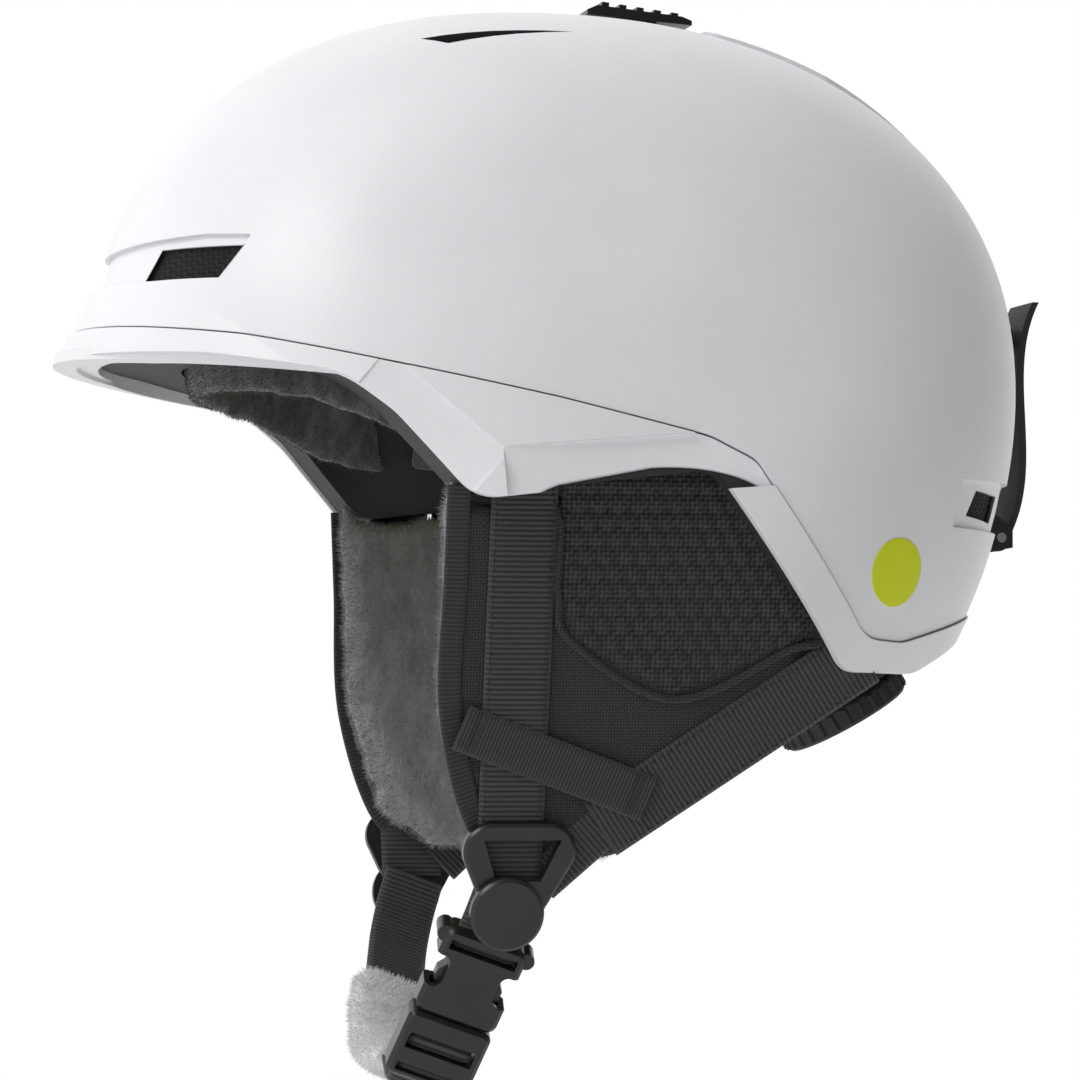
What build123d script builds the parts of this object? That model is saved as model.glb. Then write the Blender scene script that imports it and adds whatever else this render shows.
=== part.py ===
"""Ski helmet. Front faces -Y, the wearer's left is +X, up is +Z. Millimetres."""
import os
from math import atan2, cos, degrees, pi, radians, sin, tan

from build123d import *

os.makedirs("parts", exist_ok=True)

# Overall form of the outer shell, about the origin at its widest level
half_width = 112.0
front_reach = 130.0
rear_reach = 145.0
crown_height = 110.5
skirt_depth = 160.0
front_fullness = 2.25
rear_fullness = 2.2
skirt_fullness = 1.9
side_fullness = 2.35
ear_pole_y = 5.0
ear_pole_z = -60.0

# Foam liner's own edges, above the shell's lower edge and over the fit adjuster
foam_edge_shift = 1.5
foam_rear_low = -62.0
foam_rear_y = 56.0

# Layers, outside to inside
shell_wall = 3.0
lip_proud = 0.8
layer_gap = 0.4
foam_wall = 24.0
slip_wall = 0.8
pad_wall = 6.0
seam_gap = 0.5

# Side-view edges of the shell, as (y, z) points and the radius at each corner
reach = 175.0
lower_edge = [
    (-reach, 8), (-107, 3), (-72, -3), (-58, -14), (-36.5, -38.5),
    (31.5, -31), (71, -85.5), (97, -86), (reach, -53),
]
lower_radii = [0, 60, 30, 30, 12, 9, 9, 16, 0, 0, 0]
seam_line = [
    (-reach, 19), (-97, 8), (-61, 0), (-13, -10.3), (29, -20.5),
    (42.5, -27), (77.5, -76), (91, -77), (reach, -56),
]
seam_radii = [0, 60, 60, 60, 20, 10, 10, 14, 0, 0, 0]
bevel_depth = 2.4
bevel_height = 16.0
bevel_runs = [((-29.5, -24), (46, -18)), ((-60, 3), (-28, -25.5))]

# Brim
brim_overhang = 11.5
brim_side_inset = 2.0
brim_reach = front_reach + brim_overhang
brim_half_width = half_width - brim_side_inset
brim_z = 7.0
brim_slope = 6.8
brim_wall = 5.0
brim_rim = 7.0
brim_step = 1.2

# Brow: the front of the shell flares out to meet the brim
brow_reach = front_reach + 9.1
brow_fullness = 1.6
brow_inset = 0.6
brow_rear = -66.0
crease_line = [
    (-reach, 26), (-front_reach, 25.5), (12 - front_reach, 25),
    (28 - front_reach, 24.3), (brow_rear, 24),
]

# Vents
recess_depth = 1.6
slit_x = 50.0
slit_front = -41.0
slit_rear = 3.5
slit_width = 7.0

# Vent slider on the crown
knob_length = 32.0
knob_width = 14.0
knob_y = 33.0
knob_top = crown_height + 4.5
knob_ribs = 5
knob_travel = 12.0
knob_slope = 7.0
window_length = 11.0
knob_skin = 1.2
neck_width = 6.0
neck_length = 12.0
slide_clearance = 0.5
shutter_top = crown_height - shell_wall - 7.0
shutter_half_width = slit_x + 2.5
shutter_drop = 20.0
shutter_wall = 1.2
shutter_front = -38.0
shutter_rear = 46.0

# Raised spine behind the knob
spine_height = 2.0
spine_plan = [(-9, 53), (9, 53), (16, 88), (11, 122), (-11, 122), (-16, 88)]

# Goggle strap clip at the rear
clip_width = 22.0
clip_wall = 2.0
clip_pin_y = rear_reach - 2.2
clip_pin_z = -44.5
clip_pin_radius = 1.5
clip_knuckle_radius = 4.0
pin_clearance = 0.05
clip_side_gap = 0.3
clip_ear_wall = 3.7

# Emblem disc on the left of the rear
badge_radius = 9.7
badge_proud = 0.3
badge_y = 87.0
badge_z = -57.5
badge_normal = Vector(0.74, 0.58, -0.34).normalized()

# Rear fit adjuster
dial_y = rear_reach - 48.0
dial_z = -96.0
dial_tilt = 30.0
dial_radius = 20.0
dial_wall = 7.0
dial_bumps = 28
shaft_radius = 3.0
shaft_length = 8.5
housing_half_width = 21.0
housing_front = dial_y - 9.5
housing_rear = dial_y - 1.5
housing_low = -88.0
housing_high = -72.0
arm_wall = 1.6
arm_y = dial_y - 6.5
arm_end_x = half_width - 58.0
arm_high = -75.5
arm_mid = -79.6
arm_low = -83.7
arm_slot_clearance = 0.35

# Ear pads: a flat pad in a plane that leans in towards the jaw
ear_face_x = half_width - 14.0
ear_face_z = -30.0
ear_lean = 12.0
ear_cover_wall = 7.0
ear_fleece_wall = 5.0
ear_outline = [(-43, -15), (84, -15), (84, -74), (74, -90), (9, -141), (-18, -141), (-34, -129), (-43, -96)]
mesh_wall = 1.5
webbing_wall = 1.6
webbing_width = 19.0
front_webbing_y = -21.0
front_webbing_end_z = -137.0
mesh_front = front_webbing_y + webbing_width / 2 + 1
mesh_outline = [
    (mesh_front, -15), (60, -15), (68, -70), (58, -79),
    (24, -93), (mesh_front + 4.5, -77), (mesh_front, -64),
]
rear_webbing_start = (-1, -133)
rear_webbing_end = (81, -78.5)
keeper_width = 13.0
keeper_wall = 1.3
keeper_start = (-36, -101)
keeper_end = (18, -121)
edge_clearance = 0.8

# Snap posts between ear pad and foam
snap_x = ear_face_x - 4.5
snap_radius = 3.5
snap_low = -31.0
snap_length = 9.0

# Strap dividers below the ears
divider_middle = -18.0
divider_slot_width = webbing_width + 3
divider_reach = divider_slot_width / 2 + 10
divider_corners = [
    (divider_middle - divider_reach, -127),
    (divider_middle + divider_reach, -127),
    (-21, -168),
]
divider_slot = [
    (divider_middle - divider_slot_width / 2, -131.5),
    (divider_middle + divider_slot_width / 2, -131.5),
    (divider_middle + divider_slot_width / 4, -143),
    (divider_middle - divider_slot_width / 3, -143),
]
divider_wall = 3.6
cap_radius = 10.5
cap_wall = 3.2
chin_axis_y = -22.2
chin_axis_z = -151.8

# Chin loop, drawn in its own plane: x across the helmet, second value up the loop
loop_lean = 20.0
chin_strap_inset = 1.7
chin_strap_x = ear_face_x - tan(radians(ear_lean)) * (ear_face_z - chin_axis_z) - chin_strap_inset
chin_strap_top = 3.0
buckle_top = (chin_strap_x - 3.3, -8.0)
buckle_lean = 23.6
pad_path = [(chin_strap_x - 43, -48.5), (4, -50.5), (47 - chin_strap_x, -45), (25 - chin_strap_x, -28)]
chin_pad_wall = 10.0
chin_pad_width = 26.0
strap_end_gap = 5.0
webbing_end_gap = 0.8

# Side-release buckle
socket_length = 27.0
socket_width = webbing_width + 5.5
buckle_wall = 10.0
buckle_edge = 1.2
cavity_width = socket_width - 3.6
cavity_depth = 20.0
cavity_wall = 5.6
plug_length = 21.0
plug_width = webbing_width + 6.0
plug_gap = 0.3
prong_width = 3.2
prong_offset = cavity_width / 2 - 4.2
prong_length = 15.0
prong_tip = 3.6
prong_wall = 4.8
tongue_width = 3.4


def side_point(angle, inset, front, fullness):
    """One (y, z) point of the centre outline, all radii reduced by the inset."""
    across = cos(angle)
    up = sin(angle)
    y_reach = (front if across < 0 else rear_reach) - inset
    z_reach = (crown_height if up >= 0 else skirt_depth) - inset
    if up < 0:
        power = 2 / skirt_fullness
    else:
        power = 2 / (fullness if across < 0 else rear_fullness)
    y = y_reach * abs(across) ** power * (1 if across >= 0 else -1)
    z = z_reach * abs(up) ** power * (1 if up >= 0 else -1)
    return y, z


def side_x(y, z, inset):
    """How far out the layer's side lies at a side-view point, found by halving steps."""
    low, high = 0.0, 1.0
    for _ in range(40):
        share = (low + high) / 2
        outer_y = ear_pole_y + (y - ear_pole_y) / share
        outer_z = ear_pole_z + (z - ear_pole_z) / share
        y_reach = (front_reach if outer_y < 0 else rear_reach) - inset
        z_reach = (crown_height if outer_z >= 0 else skirt_depth) - inset
        top_power = front_fullness if outer_y < 0 else rear_fullness
        power = top_power if outer_z >= 0 else skirt_fullness
        if abs(outer_y / y_reach) ** power + abs(outer_z / z_reach) ** power > 1:
            low = share
        else:
            high = share
    return (half_width - inset) * (1 - share**side_fullness) ** (1 / side_fullness)


def rear_y(z, inset):
    """Where the layer's rear lies at a height on the centre plane."""
    z_reach = (crown_height if z >= 0 else skirt_depth) - inset
    power = rear_fullness if z >= 0 else skirt_fullness
    return (rear_reach - inset) * (1 - abs(z / z_reach) ** power) ** (1 / power)


def dome(inset, front=front_reach, fullness=front_fullness):
    """Closed helmet-shaped solid: the centre outline shrinks towards the ear pole on each side."""
    stations = [radians(a) for a in (-82, -70, -52, -28, 0, 28, 52, 70, 82)]
    with BuildPart() as block:
        for station in stations:
            share = cos(station) ** (2 / side_fullness)
            x = (half_width - inset) * abs(sin(station)) ** (2 / side_fullness)
            points = []
            for step in range(24):
                y, z = side_point(-pi / 2 + step * pi / 12 + 0.001, inset, front, fullness)
                points.append((ear_pole_y + share * (y - ear_pole_y), ear_pole_z + share * (z - ear_pole_z)))
            with BuildSketch(Plane.YZ.offset(x if station > 0 else -x)):
                with BuildLine():
                    Spline(*points, periodic=True)
                make_face()
        loft()
    return block.part


def side_prism(points, low=-reach, high=reach, radii=None):
    """Side-view outline carried straight across the helmet."""
    with BuildPart() as prism:
        with BuildSketch(Plane.YZ.offset(low)):
            with BuildLine():
                if radii:
                    FilletPolyline(*points, radius=radii, close=True)
                else:
                    Polyline(*points, close=True)
            make_face()
        extrude(amount=high - low)
    return prism.part


def above(edge, radii, shift):
    """Everything above an edge line, moved up by the shift."""
    closing = [(reach, reach), (-reach, reach)]
    raised = [(y, z + shift) for y, z in edge]
    return side_prism(raised + closing, radii=radii)


def finish(piece, label):
    """Name a finished piece and write it."""
    piece.part.label = label
    export_step(piece.part, f"parts/{label}.step")


def finish_pair(piece, label):
    """Write a left piece and its mirror image on the right."""
    finish(piece, f"{label}_left")
    with BuildPart() as other:
        mirror(piece.part, about=Plane.YZ)
    finish(other, f"{label}_right")


foam_out = shell_wall + layer_gap
foam_in = foam_out + foam_wall
slip_out = foam_in + layer_gap
slip_in = slip_out + slip_wall
pad_out = slip_in
pad_in = pad_out + pad_wall

dome_face = dome(0)
dome_lip = dome(-lip_proud)
dome_shell_in = dome(shell_wall)
dome_foam_out = dome(foam_out)
dome_foam_in = dome(foam_in)
dome_slip_out = dome(slip_out)
dome_slip_in = dome(slip_in)
dome_pad_in = dome(pad_in)
dome_recess = dome(recess_depth)
above_lower_edge = above(lower_edge, lower_radii, 0)


# Openings shared by the shell, the foam and the slip layer
def face_plane(x, y, z, turn):
    """Plane on the shell with its normal turned from +X towards -Y or +Y."""
    return Plane(origin=(x, y, z), x_dir=(-sin(turn), cos(turn), 0), z_dir=(cos(turn), sin(turn), 0))


front_duct = face_plane(50, 20 - front_reach, 30, radians(-64))
rear_duct = face_plane(60, rear_reach - 25, -36, radians(60))


def shifted(points, y_shift):
    """A side-view outline moved along Y."""
    return [(y + y_shift, z) for y, z in points]


front_vent = shifted([(10.5, 25), (27.6, 24.3), (34.5, 33.5), (15, 34)], -front_reach)
band_top = shifted([(36, 36.3), (25, 37.2), (13, 36.8), (0, 35.9), (-45, 35.5)], -front_reach)
front_band = crease_line[:4] + band_top
rear_vent = shifted([(-28, -33), (-16.5, -34), (-19, -42), (-32, -40.5)], rear_reach)
rear_band = shifted([(-35, -30.5), (-5, -30), (-5, -45), (-38, -44)], rear_reach)

# Two windows per side: the shutter's holes line up with them, or miss them after its full travel
window_places = [(slit_x, (slit_front + slit_rear) / 2 + step * knob_travel) for step in (-1, 1)]

with BuildPart() as foam_ducts:
    for plane, wide, high in ((front_duct, 28, 8), (rear_duct, 18, 8)):
        with BuildSketch(plane.offset(20)):
            RectangleRounded(wide, high, 2)
        extrude(amount=-80)
    with BuildSketch(Plane.XY.offset(40)):
        with Locations(*window_places):
            RectangleRounded(slit_width, window_length, 3)
    extrude(amount=50)
    mirror(about=Plane.YZ)

# Raised spine on the crown
with BuildPart() as spine_block:
    with BuildSketch(Plane.XY.offset(40)):
        with BuildLine():
            Polyline(*spine_plan, close=True)
        make_face()
        fillet(vertices(), radius=5)
    extrude(amount=120)
    add(dome(-spine_height), mode=Mode.INTERSECT)

# Flared brow under the crease line
brow_side = side_prism(crease_line + [(brow_rear, -40), (-reach, -40)])


def brow(inset):
    """The part of the flared front that lies under the crease line."""
    with BuildPart() as block:
        add(dome(inset, brow_reach, brow_fullness))
        add(brow_side, mode=Mode.INTERSECT)
    return block.part


# Shallow recesses around the front and rear vents
with BuildPart() as recesses:
    add(side_prism(front_band))
    add(side_prism(rear_band))
    add(dome_recess, mode=Mode.SUBTRACT)

with BuildPart() as upper_brow:
    add(brow(brow_inset))
    add(dome_shell_in, mode=Mode.SUBTRACT)
    add(above(seam_line, seam_radii, seam_gap / 2), mode=Mode.INTERSECT)

# Upper shell
with BuildPart() as upper_shell:
    add(dome_face)
    add(spine_block.part)
    add(dome_shell_in, mode=Mode.SUBTRACT)
    add(above(seam_line, seam_radii, seam_gap / 2), mode=Mode.INTERSECT)
    add(recesses.part, mode=Mode.SUBTRACT)
    add(upper_brow.part)
    add(side_prism(front_vent), mode=Mode.SUBTRACT)
    add(side_prism(rear_vent), mode=Mode.SUBTRACT)
    with BuildSketch(Plane.XY.offset(60)):
        for side in (-1, 1):
            with BuildLine():
                Polyline(
                    (side * (slit_x - 3), slit_front),
                    (side * (slit_x + 3), slit_front + 7),
                    (side * (slit_x - 1), slit_rear),
                    close=True,
                )
            make_face()
        with Locations((0, knob_y - knob_travel / 2)):
            Rectangle(neck_width + 2 * slide_clearance, neck_length + knob_travel + 2 * slide_clearance)
    extrude(amount=60, mode=Mode.SUBTRACT)
finish(upper_shell, "upper_shell")

# Lower shell: side bands, rear lip and the brim, slightly proud of the upper shell
brim_plane = Plane(
    origin=(0, 0, brim_z - brim_reach * tan(radians(brim_slope))),
    x_dir=(1, 0, 0),
    z_dir=(0, sin(radians(brim_slope)), cos(radians(brim_slope))),
)

with BuildPart() as brim:
    with BuildSketch(brim_plane.offset(-brim_wall / 2)):
        Ellipse(brim_half_width, brim_reach)
    extrude(amount=brim_wall)
    chamfer(edges().group_by(Axis.Z)[-1], length=1.6)
    with BuildSketch(brim_plane.offset(-brim_wall / 2)):
        Ellipse(brim_half_width - brim_rim, brim_reach - brim_rim)
    extrude(amount=brim_step, mode=Mode.SUBTRACT)
    with BuildSketch(Plane.YZ.offset(-reach)):
        with Locations((-reach / 2 - 45, 0)):
            Rectangle(reach, reach)
    extrude(amount=2 * reach, mode=Mode.INTERSECT)
    add(dome_shell_in, mode=Mode.SUBTRACT)

with BuildPart() as bevel_tool:
    for start, end in bevel_runs:
        run_start = Vector(side_x(*start, -lip_proud), *start)
        run = Vector(side_x(*end, -lip_proud), *end) - run_start
        along = run.normalized()
        run_x = (Vector(1, 0, 0) - along * along.X).normalized()
        with BuildSketch(Plane(origin=run_start, x_dir=run_x, z_dir=along)):
            with BuildLine():
                Polyline((0, 0), (-bevel_depth, bevel_height), (12, bevel_height), (12, 0), close=True)
            make_face()
        extrude(amount=run.length)
    mirror(about=Plane.YZ)

with BuildPart() as lower_brow:
    add(brow(brow_inset - lip_proud))
    add(dome_shell_in, mode=Mode.SUBTRACT)

with BuildPart() as lower_shell:
    add(dome_lip)
    add(dome_shell_in, mode=Mode.SUBTRACT)
    add(lower_brow.part)
    add(above_lower_edge, mode=Mode.INTERSECT)
    add(brim.part)
    add(above(seam_line, seam_radii, -seam_gap / 2), mode=Mode.SUBTRACT)
    add(bevel_tool.part, mode=Mode.SUBTRACT)
finish(lower_shell, "lower_shell")

# Emblem disc on the upper shell's rear left
badge_centre = Vector(side_x(badge_y, badge_z, 0), badge_y, badge_z)
with BuildPart() as emblem_disc:
    with BuildSketch(Plane(origin=badge_centre - badge_normal * 15, x_dir=(0, 0, 1), z_dir=badge_normal)):
        Circle(badge_radius)
    extrude(amount=30)
    add(dome(-badge_proud), mode=Mode.INTERSECT)
    add(dome_face, mode=Mode.SUBTRACT)
finish(emblem_disc, "emblem_disc")

# Foam liner
with BuildPart() as shutter_pocket:
    with BuildSketch(Plane.XZ.offset(-shutter_rear - 4)):
        with Locations((0, shutter_top + 20)):
            Rectangle(2 * shutter_half_width + 6, 90)
    extrude(amount=shutter_rear + 4 - shutter_front + knob_travel + 4)
shutter_radius = (shutter_half_width**2 + shutter_drop**2) / (2 * shutter_drop)
shutter_centre_z = shutter_top - shutter_radius
with BuildPart() as pocket_floor:
    with BuildSketch(Plane.XZ.offset(-reach)):
        with Locations((0, shutter_centre_z)):
            Circle(shutter_radius - shutter_wall - slide_clearance)
    extrude(amount=2 * reach)

with BuildPart() as pocket:
    add(shutter_pocket.part)
    add(pocket_floor.part, mode=Mode.SUBTRACT)

with BuildPart() as ear_posts:
    with BuildSketch(Plane.XY.offset(snap_low)):
        with Locations((snap_x, -18), (snap_x, 16)):
            Circle(snap_radius)
    extrude(amount=snap_length)
    mirror(about=Plane.YZ)

with BuildPart() as foam_liner:
    add(dome_foam_out)
    add(dome_foam_in, mode=Mode.SUBTRACT)
    add(above(lower_edge, lower_radii, foam_edge_shift), mode=Mode.INTERSECT)
    add(pocket.part, mode=Mode.SUBTRACT)
    add(foam_ducts.part, mode=Mode.SUBTRACT)
    with BuildSketch(Plane.YZ.offset(-reach)):
        with Locations((foam_rear_y + reach / 2, foam_rear_low - reach / 2)):
            Rectangle(reach, reach)
    extrude(amount=2 * reach, mode=Mode.SUBTRACT)
    add(ear_posts.part, mode=Mode.SUBTRACT)
finish(foam_liner, "foam_liner")

# Low-friction slip layer inside the foam, on four elastic anchors
slip_low = [(-reach, 14), (-60, 6), (60, -18), (reach, -40)]
with BuildPart() as slip_anchor_pins:
    for x, y in ((38, -48), (-38, -48), (42, 62), (-42, 62)):
        with BuildSketch(Plane.XY.offset(30)):
            with Locations((x, y)):
                Circle(4)
        extrude(amount=70)
    add(dome_foam_in, mode=Mode.INTERSECT)
    add(dome_slip_out, mode=Mode.SUBTRACT)

with BuildPart() as slip_liner:
    add(dome_slip_out)
    add(dome_slip_in, mode=Mode.SUBTRACT)
    add(above(slip_low, None, 0), mode=Mode.INTERSECT)
    add(foam_ducts.part, mode=Mode.SUBTRACT)
finish(slip_liner, "slip_liner")
finish(slip_anchor_pins, "slip_anchor_pins")

# Vent meshes behind the front and rear openings, in the gap under the shell
with BuildPart() as mesh_layer:
    add(dome_shell_in)
    add(dome_foam_out, mode=Mode.SUBTRACT)
for label, plane, wide, high in (("front", front_duct, 60, 14), ("rear", rear_duct, 34, 15)):
    with BuildPart() as vent_mesh:
        with BuildSketch(plane.offset(-40)):
            RectangleRounded(wide, high, 3)
        extrude(amount=80)
        add(mesh_layer.part, mode=Mode.INTERSECT)
    finish_pair(vent_mesh, f"{label}_vent_mesh")

# Comfort pads inside
def comfort_pad(region, label):
    """A pad of the inner layer, cut to a side-view region or a plan-view prism."""
    with BuildPart() as pad:
        add(dome_slip_in)
        add(dome_pad_in, mode=Mode.SUBTRACT)
        add(region, mode=Mode.INTERSECT)
    finish(pad, label)


brow_region = [(-reach, 26), (-40, 30), (-28, -24), (-50, -20), (-74, -9), (-107, -3), (-reach, 0)]
nape_region = [(82, -4), (reach, -4), (reach, -50), (82, -56)]
temple_region = [(-22, 26), (60, 26), (60, -26), (-22, -24)]
comfort_pad(side_prism(brow_region), "brow_pad")
comfort_pad(side_prism(nape_region), "nape_pad")
comfort_pad(side_prism(temple_region, low=20), "temple_pad_left")
comfort_pad(side_prism(temple_region, high=-20), "temple_pad_right")
with BuildPart() as crown_region:
    with BuildSketch(Plane.XY.offset(30)):
        with Locations((0, 6)):
            Circle(34)
    extrude(amount=80)
comfort_pad(crown_region.part, "crown_pad")

# Vent slider: knob over the shell, shutter under it
knob_fall = knob_length * tan(radians(knob_slope))
knob_middle = Vector(0, knob_y, knob_top - knob_fall / 2 - 2 * knob_skin)
knob_face = Plane(
    origin=knob_middle, x_dir=(1, 0, 0), z_dir=(0, sin(radians(knob_slope)), cos(radians(knob_slope)))
)

with BuildPart() as vent_knob:
    with BuildSketch(Plane.YZ.offset(-knob_width / 2)):
        with BuildLine():
            Polyline(
                (knob_y - knob_length / 2, crown_height + slide_clearance),
                (knob_y + knob_length / 2, crown_height - 2),
                (knob_y + knob_length / 2, knob_top - knob_fall - 1.2),
                (knob_y + knob_length / 2 - 3, knob_top - knob_fall),
                (knob_y - knob_length / 2 + 3, knob_top - knob_skin),
                (knob_y - knob_length / 2, knob_top - 2.6),
                close=True,
            )
        make_face()
    extrude(amount=knob_width)
    with BuildSketch(knob_face):
        with GridLocations(0, knob_length / (knob_ribs + 1), 1, knob_ribs):
            Rectangle(knob_width - 1.5, 2.2)
    extrude(amount=2.4 * knob_skin)
    with BuildSketch(Plane.XY.offset(crown_height)):
        with Locations((0, knob_y)):
            Rectangle(neck_width, neck_length)
    extrude(amount=shutter_top - crown_height)
finish(vent_knob, "vent_knob")

with BuildPart() as vent_shutter:
    with BuildSketch(Plane.XZ.offset(-shutter_rear)):
        with Locations((0, shutter_centre_z)):
            Circle(shutter_radius)
            Circle(shutter_radius - shutter_wall, mode=Mode.SUBTRACT)
        with Locations((0, shutter_top)):
            Rectangle(2 * shutter_half_width, 2 * shutter_drop, mode=Mode.INTERSECT)
    extrude(amount=shutter_rear - shutter_front)
    with BuildSketch(Plane.XY.offset(shutter_top - 30)):
        with Locations(*window_places, *[(-x, y) for x, y in window_places]):
            RectangleRounded(slit_width + 1, window_length - 1, 3)
    extrude(amount=40, mode=Mode.SUBTRACT)
    with Locations((0, knob_y, shutter_top)):
        CounterSinkHole(radius=1.2, counter_sink_radius=2.2)
    with BuildSketch(Plane.XY.offset(shutter_top - shutter_wall)):
        with Locations((0, knob_y)):
            Rectangle(neck_width, neck_length)
    extrude(amount=shutter_wall)
    add(vent_knob.part, mode=Mode.SUBTRACT)
finish(vent_shutter, "vent_shutter")

# Goggle strap clip at the rear
with BuildPart() as clip_bracket:
    with BuildSketch(Plane.YZ.offset(-clip_width / 2 - clip_side_gap - clip_ear_wall)):
        with BuildLine():
            Polyline(
                (rear_reach - 27, -54),
                (clip_pin_y - 2, clip_pin_z - 4),
                (clip_pin_y + 3.4, clip_pin_z - 3),
                (clip_pin_y + 3.4, clip_pin_z + 3),
                (clip_pin_y - 2, clip_pin_z + 7),
                (rear_reach - 27, -34),
                close=True,
            )
        make_face()
    extrude(amount=clip_width + 2 * (clip_side_gap + clip_ear_wall))
    with BuildSketch(Plane.YZ.offset(-clip_width / 2 - clip_side_gap)):
        with Locations((clip_pin_y, clip_pin_z)):
            Circle(clip_knuckle_radius + clip_side_gap)
        with Locations((clip_pin_y + 5, clip_pin_z)):
            Rectangle(10, 22)
    extrude(amount=clip_width + 2 * clip_side_gap, mode=Mode.SUBTRACT)
    with BuildSketch(Plane.YZ.offset(-reach)):
        with Locations((clip_pin_y, clip_pin_z)):
            Circle(clip_pin_radius)
    extrude(amount=2 * reach, mode=Mode.SUBTRACT)
    add(dome_face, mode=Mode.SUBTRACT)
finish(clip_bracket, "clip_bracket")

with BuildPart() as clip_pin:
    with BuildSketch(Plane.YZ.offset(-clip_width / 2 - clip_ear_wall)):
        with Locations((clip_pin_y, clip_pin_z)):
            Circle(clip_pin_radius)
    extrude(amount=clip_width + 2 * clip_ear_wall)
finish(clip_pin, "clip_pin")

clip_line = [
    (clip_pin_y + 4, clip_pin_z + 1), (rear_reach + 6.7, -12),
    (rear_reach + 6.9, 14), (rear_reach + 11, 27),
]
with BuildPart() as goggle_clip:
    with BuildSketch(Plane.YZ.offset(-clip_width / 2)):
        with BuildLine():
            outer_line = Spline(*clip_line)
            inner_line = Spline(*[(y - clip_wall, z) for y, z in clip_line])
            Line(outer_line @ 0, inner_line @ 0)
            Line(outer_line @ 1, inner_line @ 1)
        make_face()
        with Locations((clip_pin_y, clip_pin_z)):
            Circle(clip_knuckle_radius)
            Circle(clip_pin_radius + pin_clearance, mode=Mode.SUBTRACT)
    extrude(amount=clip_width)
finish(goggle_clip, "goggle_clip")

with BuildPart() as clip_stop:
    with BuildSketch(Plane.XZ.offset(15 - rear_reach)):
        with Locations((0, 17)):
            RectangleRounded(12, 6, 2)
    extrude(amount=-19.2)
    add(dome_face, mode=Mode.SUBTRACT)
finish(clip_stop, "clip_stop")

# Rear fit adjuster: housing, dial and two sliding arms
dial_normal = (0, sin(radians(dial_tilt)), -cos(radians(dial_tilt)))
dial_plane = Plane(origin=(0, dial_y, dial_z), x_dir=(1, 0, 0), z_dir=dial_normal)

with BuildPart() as arm_slot:
    with BuildSketch(Plane.XY.offset(arm_low - arm_slot_clearance)):
        with Locations((0, arm_y)):
            Rectangle(3 * housing_half_width, arm_wall + 2 * arm_slot_clearance)
    extrude(amount=arm_high - arm_low + 2 * arm_slot_clearance)

with BuildPart() as fit_housing:
    with BuildSketch(Plane.XY.offset(housing_low)):
        with Locations((0, (housing_front + housing_rear) / 2)):
            RectangleRounded(2 * housing_half_width, housing_rear - housing_front, 2)
    extrude(amount=housing_high - housing_low)
    with BuildSketch(dial_plane.offset(-dial_wall / 2 - 0.4)):
        Circle(dial_radius - 1.5)
    extrude(amount=-4)
    add(arm_slot.part, mode=Mode.SUBTRACT)
    with BuildSketch(dial_plane.offset(dial_wall / 2)):
        Circle(shaft_radius + pin_clearance)
    extrude(amount=-dial_wall - shaft_length - 1, mode=Mode.SUBTRACT)
finish(fit_housing, "fit_housing")

with BuildPart() as fit_dial:
    with BuildSketch(dial_plane.offset(-dial_wall / 2)):
        Circle(dial_radius)
    extrude(amount=dial_wall)
    chamfer(edges(), length=0.8)
    with BuildSketch(dial_plane.offset(-dial_wall / 2 + 1.2)):
        with PolarLocations(dial_radius, dial_bumps):
            Circle(0.9)
    extrude(amount=dial_wall - 2.4)
    with BuildSketch(dial_plane.offset(dial_wall / 2)):
        Circle(shaft_radius)
    extrude(amount=-dial_wall, mode=Mode.SUBTRACT)
finish(fit_dial, "fit_dial")

with BuildPart() as fit_shaft:
    with BuildSketch(dial_plane.offset(dial_wall / 2 - 1)):
        Circle(shaft_radius)
    extrude(amount=-dial_wall - shaft_length + 4)
finish(fit_shaft, "fit_shaft")


def fit_arm(low, high, side, label):
    """Straight rack at the back, then a curve forward round the nape."""
    with BuildPart() as arm:
        with BuildSketch(Plane.XY.offset(low)):
            with BuildLine():
                Polyline(
                    (4, arm_y - arm_wall / 2),
                    (arm_end_x - 24, arm_y - arm_wall / 2),
                    (arm_end_x - 8, arm_y - 11.5),
                    (arm_end_x, arm_y - 26.5),
                    (arm_end_x + arm_wall, arm_y - 26),
                    (arm_end_x - 8 + arm_wall, arm_y - 10.5),
                    (arm_end_x - 23.4, arm_y + arm_wall / 2),
                    (4, arm_y + arm_wall / 2),
                    close=True,
                )
            make_face()
        extrude(amount=high - low)
        if side < 0:
            mirror(about=Plane.YZ, mode=Mode.REPLACE)
    finish(arm, label)


fit_arm(arm_mid + 0.2, arm_high, 1, "fit_arm_left")
fit_arm(arm_low, arm_mid - 0.2, -1, "fit_arm_right")

with BuildPart() as fit_hangers:
    with BuildSketch(Plane.YZ.offset(10)):
        with BuildLine():
            Polyline(
                (housing_front + 2, housing_high),
                (housing_rear - 1, housing_high),
                (rear_y(foam_rear_low, foam_in) + 7, foam_rear_low),
                (rear_y(foam_rear_low, foam_in) + 1.5, foam_rear_low),
                close=True,
            )
        make_face()
    extrude(amount=6)
    mirror(about=Plane.YZ)
finish(fit_hangers, "fit_hangers")

cradle_y = housing_front - 8
with BuildPart() as nape_cradle:
    with BuildSketch(Plane.XY.offset(housing_low + 2)):
        with BuildLine():
            ThreePointArc((-30, cradle_y - 2.5), (0, housing_front - 4), (30, cradle_y - 2.5))
            Line((30, cradle_y - 2.5), (31, cradle_y))
            ThreePointArc((31, cradle_y), (0, housing_front), (-31, cradle_y))
            Line((-31, cradle_y), (-30, cradle_y - 2.5))
        make_face()
    extrude(amount=housing_high - housing_low - 4)
finish(nape_cradle, "nape_cradle")

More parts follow.
